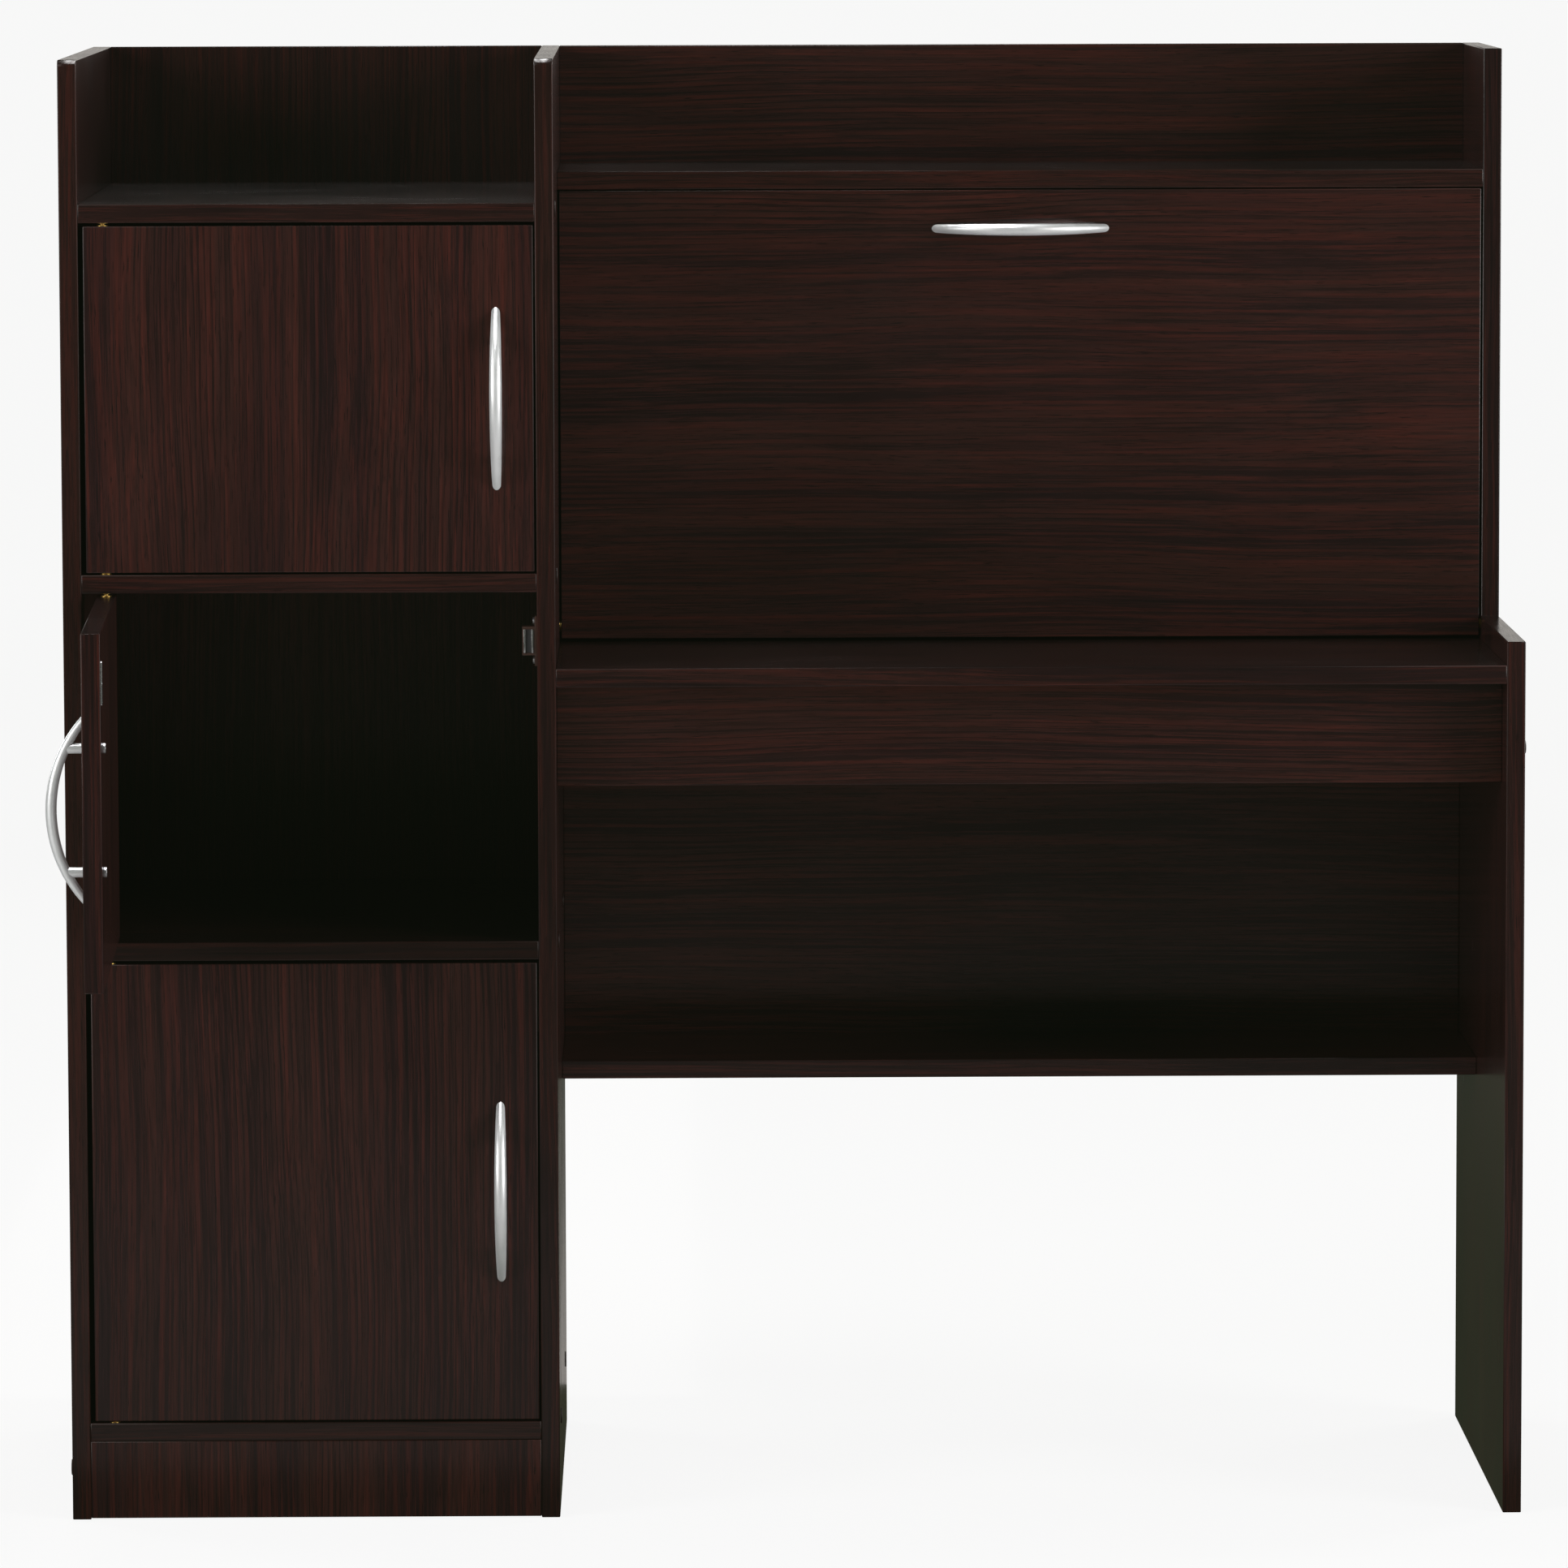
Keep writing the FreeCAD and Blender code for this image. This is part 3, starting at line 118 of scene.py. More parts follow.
def new_material(name, **constants):
    """A material with one Principled shader; constants are set on the shader's own sockets."""
    material = bpy.data.materials.new(name)
    material.use_nodes = True
    tree = material.node_tree
    tree.nodes.clear()
    surface = add(tree, "ShaderNodeBsdfPrincipled")
    for socket, given in constants.items():
        surface.inputs[socket.replace("_", " ")].default_value = given
    output = add(tree, "ShaderNodeOutputMaterial")
    tree.links.new(surface.outputs["BSDF"], output.inputs["Surface"])
    return material, tree, surface


def object_place(tree):
    return add(tree, "ShaderNodeTexCoord").outputs["Object"]


def calculate(tree, operation, first, second=0.0):
    return add(tree, "ShaderNodeMath", {0: first, 1: second}, operation=operation).outputs[0]


def combine(tree, operation, first, second):
    return add(tree, "ShaderNodeVectorMath", {0: first, 1: second}, operation=operation).outputs[0]


def noise(tree, place, detail=2.0, roughness=0.5):
    return add(tree, "ShaderNodeTexNoise",
               {"Vector": place, "Scale": 1.0, "Detail": detail, "Roughness": roughness})


def remap(tree, given, low, high, new_low, new_high):
    """Stretches a range of values to another one, and holds what lies outside it."""
    node = add(tree, "ShaderNodeMapRange", {"Value": given, "From Min": low, "From Max": high,
                                            "To Min": new_low, "To Max": new_high})
    return node.outputs[0]


def mix_colours(tree, share, first, second, blend="MIX"):
    """Mixes two colours, each a value or another node's output. The node's sockets 6, 7 and 2 are colours."""
    node = add(tree, "ShaderNodeMix", {"Factor": share}, data_type="RGBA", blend_type=blend)
    for socket, given in ((node.inputs[6], first), (node.inputs[7], second)):
        if isinstance(given, bpy.types.NodeSocket):
            tree.links.new(given, socket)
        else:
            socket.default_value = given
    return node.outputs[2]


def bump(tree, height, strength, distance):
    node = add(tree, "ShaderNodeBump", {"Height": height, "Strength": strength, "Distance": distance})
    return node.outputs["Normal"]


# ---------------------------------------------------------------- materials

LAMINATE_DARK = colour(37, 19, 20)
LAMINATE_BROWN = colour(52, 28, 25)
LAMINATE_RED = colour(77, 33, 27)
LAMINATE_LINE = colour(16, 8, 10)

# How often each part of the print changes across the grain (twice) and along it, per metre.
DRIFT_RATE = (6.0, 6.0, 2.0)
TONE_RATE = (30.0, 30.0, 0.9)
STREAK_RATE = (300.0, 300.0, 2.8)
FIBRE_RATE = (950.0, 950.0, 22.0)
PORE_RATE = (1300.0, 1300.0, 55.0)
PATCH_RATE = (14.0, 14.0, 1.8)
SKIN_RATE = (2600.0, 2600.0, 700.0)
SMEAR_RATE = (9.0, 9.0, 9.0)
# How far the grain sways sideways, how often its ripple lines come, and how much the streaks break them.
SWAY = 0.020
RIPPLE_RATE = 1250.0
RIPPLE_BREAK = 10.0

# Each span: the noise values at its start and end, and how strongly the part shows there.
TONE_SPAN = (0.38, 0.62, 0.0, 1.0)
RED_SPAN = (0.46, 0.70, 0.0, 0.66)
LINE_SPAN = (0.35, 0.98, 0.0, 1.0)
LINE_PATCH_SPAN = (0.44, 0.60, 0.06, 0.62)
VEIN_SPAN = (0.42, 0.28, 0.0, 0.60)
SPECK_SPAN = (0.36, 0.27, 0.0, 0.75)
NOISE_BODY = (0.3, 0.7)
FIBRE_SHADES = (0.62, 1.34)

# The skin over the print.
SPECULAR_LEVEL = 0.42
LOWEST_GLOSS = 0.20
GLOSS_SPREAD = 0.05
FIBRE_GLOSS = 0.03
FIBRE_RELIEF = 0.7
SKIN_RELIEF = 0.3
RELIEF_STRENGTH = 0.12
RELIEF_DEPTH = 0.0002

# The edge tape is a little darker than the faces.
FACE_DEPTH = 1.0
EDGE_DEPTH = 0.72


def grain_place(tree, along):
    """The place on the board with the grain's direction as Z, and a shift of each board's own."""
    shift = add(tree, "ShaderNodeAttribute", attribute_type="OBJECT", attribute_name="grain_shift")
    moved = combine(tree, "ADD", object_place(tree), shift.outputs["Vector"])
    split = add(tree, "ShaderNodeSeparateXYZ", {0: moved})
    across = [axis for axis in range(3) if axis != along]
    joined = add(tree, "ShaderNodeCombineXYZ", {0: split.outputs[across[0]], 1: split.outputs[across[1]],
                                                2: split.outputs[along]})
    return joined.outputs[0]


def rated_noise(tree, place, rate, detail=2.0, roughness=0.5):
    return noise(tree, combine(tree, "MULTIPLY", place, rate), detail, roughness)


def laminate(name, along, depth):
    """Dark wood-grain print under a semi-gloss skin: tone bands, dark lines, fine fibres and pores."""
    material, tree, surface = new_material(name, Specular_IOR_Level=SPECULAR_LEVEL)
    place = grain_place(tree, along)

    drift = rated_noise(tree, place, DRIFT_RATE)
    sway = combine(tree, "MULTIPLY", combine(tree, "SUBTRACT", drift.outputs["Color"], (0.5, 0.5, 0.5)),
                   (SWAY, SWAY, 0.0))
    swayed = combine(tree, "ADD", place, sway)
    tone = rated_noise(tree, swayed, TONE_RATE, detail=3.0, roughness=0.6).outputs["Fac"]
    streak = rated_noise(tree, swayed, STREAK_RATE, detail=3.0, roughness=0.55).outputs["Fac"]
    fibre = rated_noise(tree, swayed, FIBRE_RATE, detail=2.0, roughness=0.6).outputs["Fac"]
    pore = rated_noise(tree, swayed, PORE_RATE, detail=1.0).outputs["Fac"]
    patch = rated_noise(tree, place, PATCH_RATE, detail=1.0).outputs["Fac"]

    split = add(tree, "ShaderNodeSeparateXYZ", {0: swayed})
    across = calculate(tree, "ADD", split.outputs[0], split.outputs[1])
    phase = calculate(tree, "ADD", calculate(tree, "MULTIPLY", across, RIPPLE_RATE),
                      calculate(tree, "MULTIPLY", streak, RIPPLE_BREAK))
    line = remap(tree, calculate(tree, "SINE", phase), *LINE_SPAN)
    line = calculate(tree, "MULTIPLY", line, remap(tree, patch, *LINE_PATCH_SPAN))
    vein = remap(tree, streak, *VEIN_SPAN)
    speck = remap(tree, pore, *SPECK_SPAN)
    dark = calculate(tree, "MAXIMUM", calculate(tree, "MAXIMUM", line, vein), speck)

    base = mix_colours(tree, remap(tree, tone, *TONE_SPAN), LAMINATE_DARK, LAMINATE_BROWN)
    base = mix_colours(tree, remap(tree, streak, *RED_SPAN), base, LAMINATE_RED)
    base = mix_colours(tree, dark, base, LAMINATE_LINE)
    # Each board's painted shade or light scales its whole print.
    board_light_and_shade = add(tree, "ShaderNodeAttribute", attribute_type="OBJECT", attribute_name="painted_light_and_shade_share")
    shade = remap(tree, fibre, *NOISE_BODY, FIBRE_SHADES[0] * depth, FIBRE_SHADES[1] * depth)
    shade = calculate(tree, "MULTIPLY", shade, board_light_and_shade.outputs["Fac"])
    grey = add(tree, "ShaderNodeCombineColor", {0: shade, 1: shade, 2: shade}).outputs[0]
    tree.links.new(mix_colours(tree, 1.0, base, grey, blend="MULTIPLY"), surface.inputs["Base Color"])

    smear = rated_noise(tree, object_place(tree), SMEAR_RATE, detail=3.0).outputs["Fac"]
    smeared = remap(tree, smear, *NOISE_BODY, LOWEST_GLOSS, LOWEST_GLOSS + GLOSS_SPREAD)
    gloss = calculate(tree, "ADD", smeared, remap(tree, fibre, *NOISE_BODY, FIBRE_GLOSS, -FIBRE_GLOSS))
    tree.links.new(gloss, surface.inputs["Roughness"])
    skin = rated_noise(tree, place, SKIN_RATE, detail=1.0).outputs["Fac"]
    height = calculate(tree, "ADD", calculate(tree, "MULTIPLY", fibre, FIBRE_RELIEF),
                       calculate(tree, "MULTIPLY", skin, SKIN_RELIEF))
    tree.links.new(bump(tree, height, RELIEF_STRENGTH, RELIEF_DEPTH), surface.inputs["Normal"])
    return material


# Metal: rates of the rubbed spots and of the satin hair, per metre, and how far they change the surface.
SPOT_RATE = 60
HAIR_RATE = 4000
SPOT_DARKENING = 0.86
SPOT_ROUGHNESS = (0.85, 1.15)
HAIR_ROUGHNESS = 0.03
HAIR_RELIEF = 0.10
HAIR_DEPTH = 0.00005

# Plastic: rates of its clouds and of its spark-eroded skin.
CLOUD_RATE = 120
ERODED_RATE = 2500
CLOUD_DARKENING = 0.8
ERODED_ROUGHNESS = 0.05
ERODED_RELIEF = 0.15
ERODED_DEPTH = 0.0001

# Beech, turned along X.
BEECH_DARK = colour(176, 138, 96)
BEECH_PALE = colour(214, 180, 136)
BEECH_FLECK = colour(120, 84, 54)
BEECH_BAND_RATE = (30, 700, 700)
BEECH_FLECK_RATE = (400, 2500, 2500)
BEECH_FLECK_SPAN = (0.34, 0.26, 0.0, 0.8)
BEECH_RELIEF = 0.3


def even_noise(tree, rate, detail):
    """Noise that changes as often in every direction."""
    return noise(tree, combine(tree, "MULTIPLY", object_place(tree), (rate, rate, rate)), detail=detail)


def darkened(tint, share):
    return tuple(part * share for part in tint[:3]) + (1.0,)


def satin_metal(name, tint, roughness, metallic=0.9):
    """Plated metal with a fine satin finish and a few soft rubbed spots."""
    material, tree, surface = new_material(name, Metallic=metallic)
    spot = even_noise(tree, SPOT_RATE, detail=3.0).outputs["Fac"]
    hair = even_noise(tree, HAIR_RATE, detail=1.0).outputs["Fac"]
    base = mix_colours(tree, spot, darkened(tint, SPOT_DARKENING), tint)
    tree.links.new(base, surface.inputs["Base Color"])
    spotted = remap(tree, spot, *NOISE_BODY, roughness * SPOT_ROUGHNESS[0], roughness * SPOT_ROUGHNESS[1])
    rough = calculate(tree, "ADD", spotted, remap(tree, hair, *NOISE_BODY, -HAIR_ROUGHNESS, HAIR_ROUGHNESS))
    tree.links.new(rough, surface.inputs["Roughness"])
    tree.links.new(bump(tree, hair, HAIR_RELIEF, HAIR_DEPTH), surface.inputs["Normal"])
    return material


def moulded_plastic(name, tint, roughness):
    """Moulded plastic with a spark-eroded skin and a faint variation of colour."""
    material, tree, surface = new_material(name)
    cloud = even_noise(tree, CLOUD_RATE, detail=2.0).outputs["Fac"]
    skin = even_noise(tree, ERODED_RATE, detail=2.0).outputs["Fac"]
    base = mix_colours(tree, cloud, darkened(tint, CLOUD_DARKENING), tint)
    tree.links.new(base, surface.inputs["Base Color"])
    rough = remap(tree, skin, *NOISE_BODY, roughness - ERODED_ROUGHNESS, roughness + ERODED_ROUGHNESS)
    tree.links.new(rough, surface.inputs["Roughness"])
    tree.links.new(bump(tree, skin, ERODED_RELIEF, ERODED_DEPTH), surface.inputs["Normal"])
    return material


def raw_wood(name):
    """Pale turned beech with short dark flecks along X."""
    material, tree, surface = new_material(name, Roughness=0.7)
    place = object_place(tree)
    band = rated_noise(tree, place, BEECH_BAND_RATE, detail=3.0).outputs["Fac"]
    fleck = rated_noise(tree, place, BEECH_FLECK_RATE, detail=1.0).outputs["Fac"]
    base = mix_colours(tree, band, BEECH_DARK, BEECH_PALE)
    base = mix_colours(tree, remap(tree, fleck, *BEECH_FLECK_SPAN), base, BEECH_FLECK)
    tree.links.new(base, surface.inputs["Base Color"])
    tree.links.new(bump(tree, band, BEECH_RELIEF, RELIEF_DEPTH), surface.inputs["Normal"])
    return material


FACE_LAMINATES = [laminate(f"laminate_grain_{axis}", number, FACE_DEPTH) for axis, number in AXES.items()]
EDGE_LAMINATES = [laminate(f"edge_tape_grain_{axis}", number, EDGE_DEPTH) for axis, number in AXES.items()]
FINISHES = {
    "satin_handle": satin_metal("satin_nickel", colour(250, 251, 253), 0.34, 0.45),
    "brass": satin_metal("brass", colour(214, 176, 96), 0.30),
    "brown_plastic": moulded_plastic("brown_plastic", colour(72, 44, 34), 0.42),
    "bright_steel": satin_metal("bright_steel", colour(206, 207, 210), 0.20),
    "magnet": moulded_plastic("ferrite", colour(48, 48, 50), 0.55),
    "zinc_screws": satin_metal("zinc_plate", colour(196, 196, 200), 0.34),
    "dark_screws": satin_metal("dark_steel", colour(92, 84, 80), 0.40),
    "dark_caps": moulded_plastic("dark_plastic", colour(44, 28, 26), 0.38),
    "dowel_wood": raw_wood("raw_beech"),
}


# ---------------------------------------------------------------- boards

def outer_edges(mesh, high_corner):
    """The sharp edges round a board's outline, without the rims of its drilled holes."""
    chosen = []
    for edge in mesh.edges:
        if len(edge.link_faces) != 2 or edge.calc_face_angle(0.0) < math.radians(OUTER_EDGE_ANGLE):
            continue
        middle = (edge.verts[0].co + edge.verts[1].co) / 2
        in_corner = False
        if high_corner is not None:
            in_corner = (middle - Vector((middle.x, *high_corner))).length < PANEL_CORNER
        if edge.calc_length() > SHORTEST_OUTER_EDGE or in_corner:
            chosen.append(edge)
    return chosen


def shade_piece(data, flat_faces):
    """Shades flat faces flat and rounded ones smooth, with normals that belong to the changed mesh."""
    stored_normals = data.attributes.get("custom_normal")
    if stored_normals is not None:
        data.attributes.remove(stored_normals)
    data.set_sharp_from_angle(angle=math.radians(SHADING_EDGE))
    for polygon, flat in zip(data.polygons, flat_faces):
        polygon.use_smooth = not flat


def clean_copy(source, turn=None):
    """A copy of a CAD mesh without doubled points or seams in its flat faces, with a turn taken back."""
    mesh = bmesh.new()
    mesh.from_mesh(source.data)
    bmesh.ops.remove_doubles(mesh, verts=mesh.verts, dist=MERGE_GAP)
    bmesh.ops.dissolve_limit(mesh, angle_limit=math.radians(FLAT_JOIN), verts=mesh.verts, edges=mesh.edges)
    if turn is not None:
        bmesh.ops.transform(mesh, matrix=turn.inverted(), verts=mesh.verts)
    return mesh


def soften(mesh, edges, radius, clamped):
    """Rounds edges off; a clamped rounding gets smaller where there is no room for it."""
    bmesh.ops.bevel(mesh, geom=edges, offset=radius, segments=BEVEL_STEPS, profile=0.5, affect="EDGES",
                    clamp_overlap=clamped)


def stand_in(piece, node):
    """Lets a piece ride on its CAD node's body in the node's place."""
    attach(piece, frame["nodes"][node]["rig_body"])
    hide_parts(node)


def lay_grain(mesh, grain):
    """Gives faces the print along their grain, and edges their tape, and says which faces are flat."""
    low = [min(vertex.co[axis] for vertex in mesh.verts) for axis in range(3)]
    high = [max(vertex.co[axis] for vertex in mesh.verts) for axis in range(3)]
    thin = min(range(3), key=lambda axis: high[axis] - low[axis])
    flat_faces = []
    for face in mesh.faces:
        main = max(range(3), key=lambda axis: abs(face.normal[axis]))
        others = [axis for axis in range(3) if axis != main]
        along = AXES[grain]
        if main == along:
            along = max(others, key=lambda axis: high[axis] - low[axis])
        face.material_index = along if main == thin else along + len(FACE_LAMINATES)
        flat_faces.append(abs(face.normal[main]) > FLAT_SHARE)
    return flat_faces


def dress_board(node, grain, number, turn=None, rounded_corner=False):
    """Stands a copy of a CAD board with softened edges, and grain along one axis, in for the node."""
    mesh = clean_copy(frame["nodes"][node], turn)
    corner = None
    if rounded_corner:
        low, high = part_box(node)
        corner = (low.y, high.z)
    soften(mesh, outer_edges(mesh, corner), EDGE_RADIUS, clamped=False)
    mesh.normal_update()
    flat_faces = lay_grain(mesh, grain)
    if turn is not None:
        bmesh.ops.transform(mesh, matrix=turn, verts=mesh.verts)
    data = bpy.data.meshes.new(f"dressed_{node}")
    mesh.to_mesh(data)
    mesh.free()
    shade_piece(data, flat_faces)
    for material in FACE_LAMINATES + EDGE_LAMINATES:
        data.materials.append(material)
    board = bpy.data.objects.new(f"dressed_{node}", data)
    scene.collection.objects.link(board)
    board["grain_shift"] = tuple(step * number for step in GRAIN_STEP)
    # The board's share of painted shade or light, which scales its whole print.
    board["painted_light_and_shade_share"] = PAINTED_LIGHT_AND_SHADE.get(node, 1.0)
    stand_in(board, node)


def open_turn(body):
    """The turn about its hinge from shut to where a door stands open at rest."""
    joint = next(joint for joint in frame["joints"] if joint["child"] == body)
    to_shut = math.radians(joint["range_deg"][0])
    pivot = Vector(joint["pos_m"])
    swing = Matrix.Rotation(-to_shut, 4, Vector(joint["axis"]))
    return Matrix.Translation(pivot) @ swing @ Matrix.Translation(-pivot)


OPEN_DOOR = "middle_door"
ROUNDED_PANELS = ("left_side_panel", "centre_divider")
GRAINS = {
    "left_side_panel": "z", "centre_divider": "z", "right_side_panel": "z", "tower_bottom_board": "x",
    "lower_tower_shelf": "x", "middle_tower_shelf": "x", "upper_tower_shelf": "x", "plinth_board": "z",
    "tower_back_panel": "z", "desktop_board": "x", "desk_apron": "x", "under_desk_shelf": "x",
    "lower_back_panel": "x", "hutch_back_panel": "x", "hutch_shelf": "x", "lower_door_panel": "z",
    "middle_door_panel": "z", "upper_door_panel": "z", "flap_panel": "x",
}
# How far the print is shifted from one board to the next, in metres.
GRAIN_STEP = (0.37, 0.61, 0.23)
# Painted shade and light: each listed board's whole print is darkened for the shade that falls on it, or
# lightened (the under-desk shelf) for the light it gets.
PAINTED_LIGHT_AND_SHADE = {"flap_panel": 0.90, "desk_apron": 0.78, "lower_door_panel": 0.86, "lower_tower_shelf": 0.58,
                "tower_bottom_board": 0.84, "centre_divider": 0.88, "under_desk_shelf": 1.35,
                "tower_back_panel": 0.82, "lower_back_panel": 0.84, "left_side_panel": 0.86}


def dress_boards():
    for number, (node, grain) in enumerate(GRAINS.items(), start=1):
        turn = open_turn(OPEN_DOOR) if node.startswith(OPEN_DOOR) else None
        dress_board(node, grain, number, turn, node in ROUNDED_PANELS)


# ---------------------------------------------------------------- hardware

# How far the rims of each kind of small part are rounded off, and how sharp an edge has to be for that.
RIMS = {"dark_caps": 0.0004, "brown_plastic": 0.0005, "bright_steel": 0.0002, "brass": 0.0001,
        "zinc_screws": 0.0003, "dark_screws": 0.0003}
RIM_ANGLE = 40
# The share of a screw's length, at each end, in which its radius is measured to find the head.
HEAD_ZONE = 0.12
# The cross recess, as shares of the screw head's diameter.
CROSS_REACH = 0.29
CROSS_HALF_WIDTH = 0.075
CROSS_DEPTH = 0.20
CROSS_TAPER = 0.55


def loose_parts(mesh):
    """The separate bodies of a mesh, each as a list of its points."""
    seen = set()
    parts = []
    for start in mesh.verts:
        if start in seen:
            continue
        seen.add(start)
        waiting = [start]
        points = []
        while waiting:
            vertex = waiting.pop()
            points.append(vertex.co.copy())
            near = [edge.other_vert(vertex) for edge in vertex.link_edges]
            waiting.extend(other for other in near if other not in seen)
            seen.update(near)
        parts.append(points)
    return parts


def screw_head(points):
    """The middle of a screw's head face, the axis and the way that it looks, and the head's diameter."""
    low = Vector([min(point[axis] for point in points) for axis in range(3)])
    high = Vector([max(point[axis] for point in points) for axis in range(3)])
    sides = high - low
    middle = (low + high) / 2
    along = max(range(3), key=lambda axis: sides[axis])

    def reach(end):
        near = [point - middle for point in points if abs(point[along] - end) < sides[along] * HEAD_ZONE]
        return max(math.hypot(*(gap[axis] for axis in range(3) if axis != along)) for gap in near)

    way = 1 if reach(high[along]) > reach(low[along]) else -1
    face = middle.copy()
    face[along] = high[along] if way > 0 else low[along]
    return face, along, way, 2 * max(reach(high[along]), reach(low[along]))


def add_cross(mesh, face, along, way, diameter):
    """Adds a tapered cross, the cutter for one screw's recess."""
    reach = CROSS_REACH * diameter
    half = CROSS_HALF_WIDTH * diameter
    outline = [(half, half), (half, reach), (-half, reach), (-half, half),
               (-reach, half), (-reach, -half), (-half, -half), (-half, -reach),
               (half, -reach), (half, -half), (reach, -half), (reach, half)]
    first, second = [axis for axis in range(3) if axis != along]
    rings = []
    for rise, scale in ((CROSS_DEPTH, 1.0 + (1.0 - CROSS_TAPER)), (-CROSS_DEPTH, CROSS_TAPER)):
        ring = []
        for across, up in outline:
            point = face.copy()
            point[first] += across * scale
            point[second] += up * scale
            point[along] += way * rise * diameter
            ring.append(mesh.verts.new(point))
        rings.append(ring)
    mesh.faces.new(rings[0])
    mesh.faces.new(list(reversed(rings[1])))
    for step in range(len(outline)):
        after = (step + 1) % len(outline)
        mesh.faces.new((rings[0][after], rings[0][step], rings[1][step], rings[1][after]))


def cut_crosses(piece, heads):
    """Cuts a cross recess into every screw head of a piece."""
    cutters = bmesh.new()
    for head in heads:
        add_cross(cutters, *head)
    bmesh.ops.recalc_face_normals(cutters, faces=cutters.faces)
    data = bpy.data.meshes.new("cross_cutters")
    cutters.to_mesh(data)
    cutters.free()
    tool = bpy.data.objects.new("cross_cutters", data)
    scene.collection.objects.link(tool)
    cut = piece.modifiers.new("cross_recess", "BOOLEAN")
    cut.object = tool
    cut.operation = "DIFFERENCE"
    cut.solver = "EXACT"
    view = bpy.context.evaluated_depsgraph_get()
    carved = bpy.data.meshes.new_from_object(piece.evaluated_get(view))
    piece.modifiers.clear()
    piece.data = carved
    bpy.data.objects.remove(tool)


def dress_small_part(node, slot_name, turn=None):
    """Stands a copy of a small CAD part with rounded rims, and recesses in screw heads, in for the node."""
    mesh = clean_copy(frame["nodes"][node], turn)
    heads = []
    if "screw" in node and "cap" not in node:
        heads = [screw_head(points) for points in loose_parts(mesh)]
    rims = [edge for edge in mesh.edges if len(edge.link_faces) == 2
            and edge.calc_face_angle(0.0) > math.radians(RIM_ANGLE)]
    soften(mesh, rims, RIMS[slot_name], clamped=True)
    data = bpy.data.meshes.new(f"dressed_{node}")
    mesh.to_mesh(data)
    mesh.free()
    for polygon in data.polygons:
        polygon.material_index = 0
    piece = bpy.data.objects.new(f"dressed_{node}", data)
    scene.collection.objects.link(piece)
    if heads:
        cut_crosses(piece, heads)
    if turn is not None:
        piece.data.transform(turn)
    piece.data.materials.clear()
    piece.data.materials.append(FINISHES[slot_name])
    shade_piece(piece.data, [False] * len(piece.data.polygons))
    stand_in(piece, node)


def dress_hardware():
    """Dresses the small parts, and gives the handles, magnets and dowels, which stay, their finishes."""
    for entry in frame["record"]["subparts"]:
        slot_name = entry["material_slot"]
        node = entry["node"]
        if slot_name in RIMS:
            turn = open_turn(OPEN_DOOR) if node.startswith(OPEN_DOOR) else None
            dress_small_part(node, slot_name, turn)
        elif slot_name in FINISHES:
            for slot in frame["nodes"][node].material_slots:
                slot.material = FINISHES[slot_name]


# ---------------------------------------------------------------- studio

# The sweep: the rings of its flat floor, the radius of the curve up, the wall's top, and its divisions.
FLOOR_RINGS = (4.0, 8.0, 12.0)
SWEEP_CURVE = 3.0
SWEEP_TOP = 9.0
SWEEP_STEPS = 16
SWEEP_SIDES = 96
# Between these distances the paper's own glow rises from the first strength to the second.
PAPER_GLOW_SPAN = (3.0, 9.0, 0.885, 0.925)
PAPER_RATE = 3
PAPER_DARK = colour(78, 78, 78)
PAPER_PALE = colour(82, 82, 82)

# Softboxes: place, size and power. All of them look at the desk's middle.
DESK_MIDDLE = (0.1, 0.0, 0.6)
SOFTBOXES = {
    "softbox_left": ((-4.9, -3.2, 2.2), (2.6, 2.6), 155),
    "softbox_right": ((5.2, -3.3, 1.7), (2.6, 2.6), 200),
    "softbox_back_left": ((-4.5, 3.4, 2.2), (2.0, 2.0), 60),
    "softbox_back_right": ((4.7, 3.4, 2.2), (2.0, 2.0), 60),
}

# Narrow lights above the two rounded panels, seen only in reflections: their powers, size and place.
STRIP_POWERS = {"left_side_panel": 26, "centre_divider": 40}
STRIP_SIZE = (0.25, 2.4)
STRIP_HEIGHT = 1.35
STRIP_FORWARD = 0.3
STRIP_OUTWARD = 1.02

# A wide light overhead, seen only in reflections.
OVERHEAD_PLACE = (0.2, -0.2, 3.0)
OVERHEAD_TARGET = (0.2, -0.2, 0.0)
OVERHEAD_SIZE = (2.2, 1.6)
OVERHEAD_POWER = 8

# The light that comes back from the floor, never seen in reflections.
BOUNCE_PLACE = (0.1, -1.9, 0.02)
BOUNCE_TARGET = (0.1, -1.9, 2.0)
BOUNCE_SIZE = (3.5, 2.2)
BOUNCE_POWER = 40

# Glow cards: two opposite corners and a strength. An upright card stands on the line between its corners.
UPRIGHT_CARDS = {
    "glow_wall_low": ((-4.0, 4.6, 0.85), (4.0, 4.6, 2.0), 0.75),
    "glow_wall_high": ((-4.0, 4.6, 2.0), (4.0, 4.6, 3.2), 0.20),
    "glow_left": ((-2.2, -4.8, 0.2), (-4.0, -3.6, 4.0), 1.5),
    "glow_right": ((2.6, -4.8, 0.2), (4.4, -3.6, 4.0), 1.5),
}
FLOOR_CARDS = {
    "glow_floor": ((-0.55, 0.35, 0.01), (0.12, 2.6, 0.01), 0.50),
    "glow_front": ((-3.0, -2.2, 0.01), (3.0, -0.4, 0.01), 0.26),
}
CARD_RATE = 2
CARD_DARK = colour(250, 244, 236)
CARD_PALE = colour(255, 250, 244)

# The room's faint fill light, and how far the darkest tones are lifted.
ROOM_COLOUR = (0.80, 1.0, 0.60, 1.0)
ROOM_STRENGTH = 0.045
BLACK_LEVEL = (-0.0024, -0.0030, -0.0018)


def add_mesh(name, points, faces):
    data = bpy.data.meshes.new(name)
    data.from_pydata(points, [], faces)
    made = bpy.data.objects.new(name, data)
    scene.collection.objects.link(made)
    return made


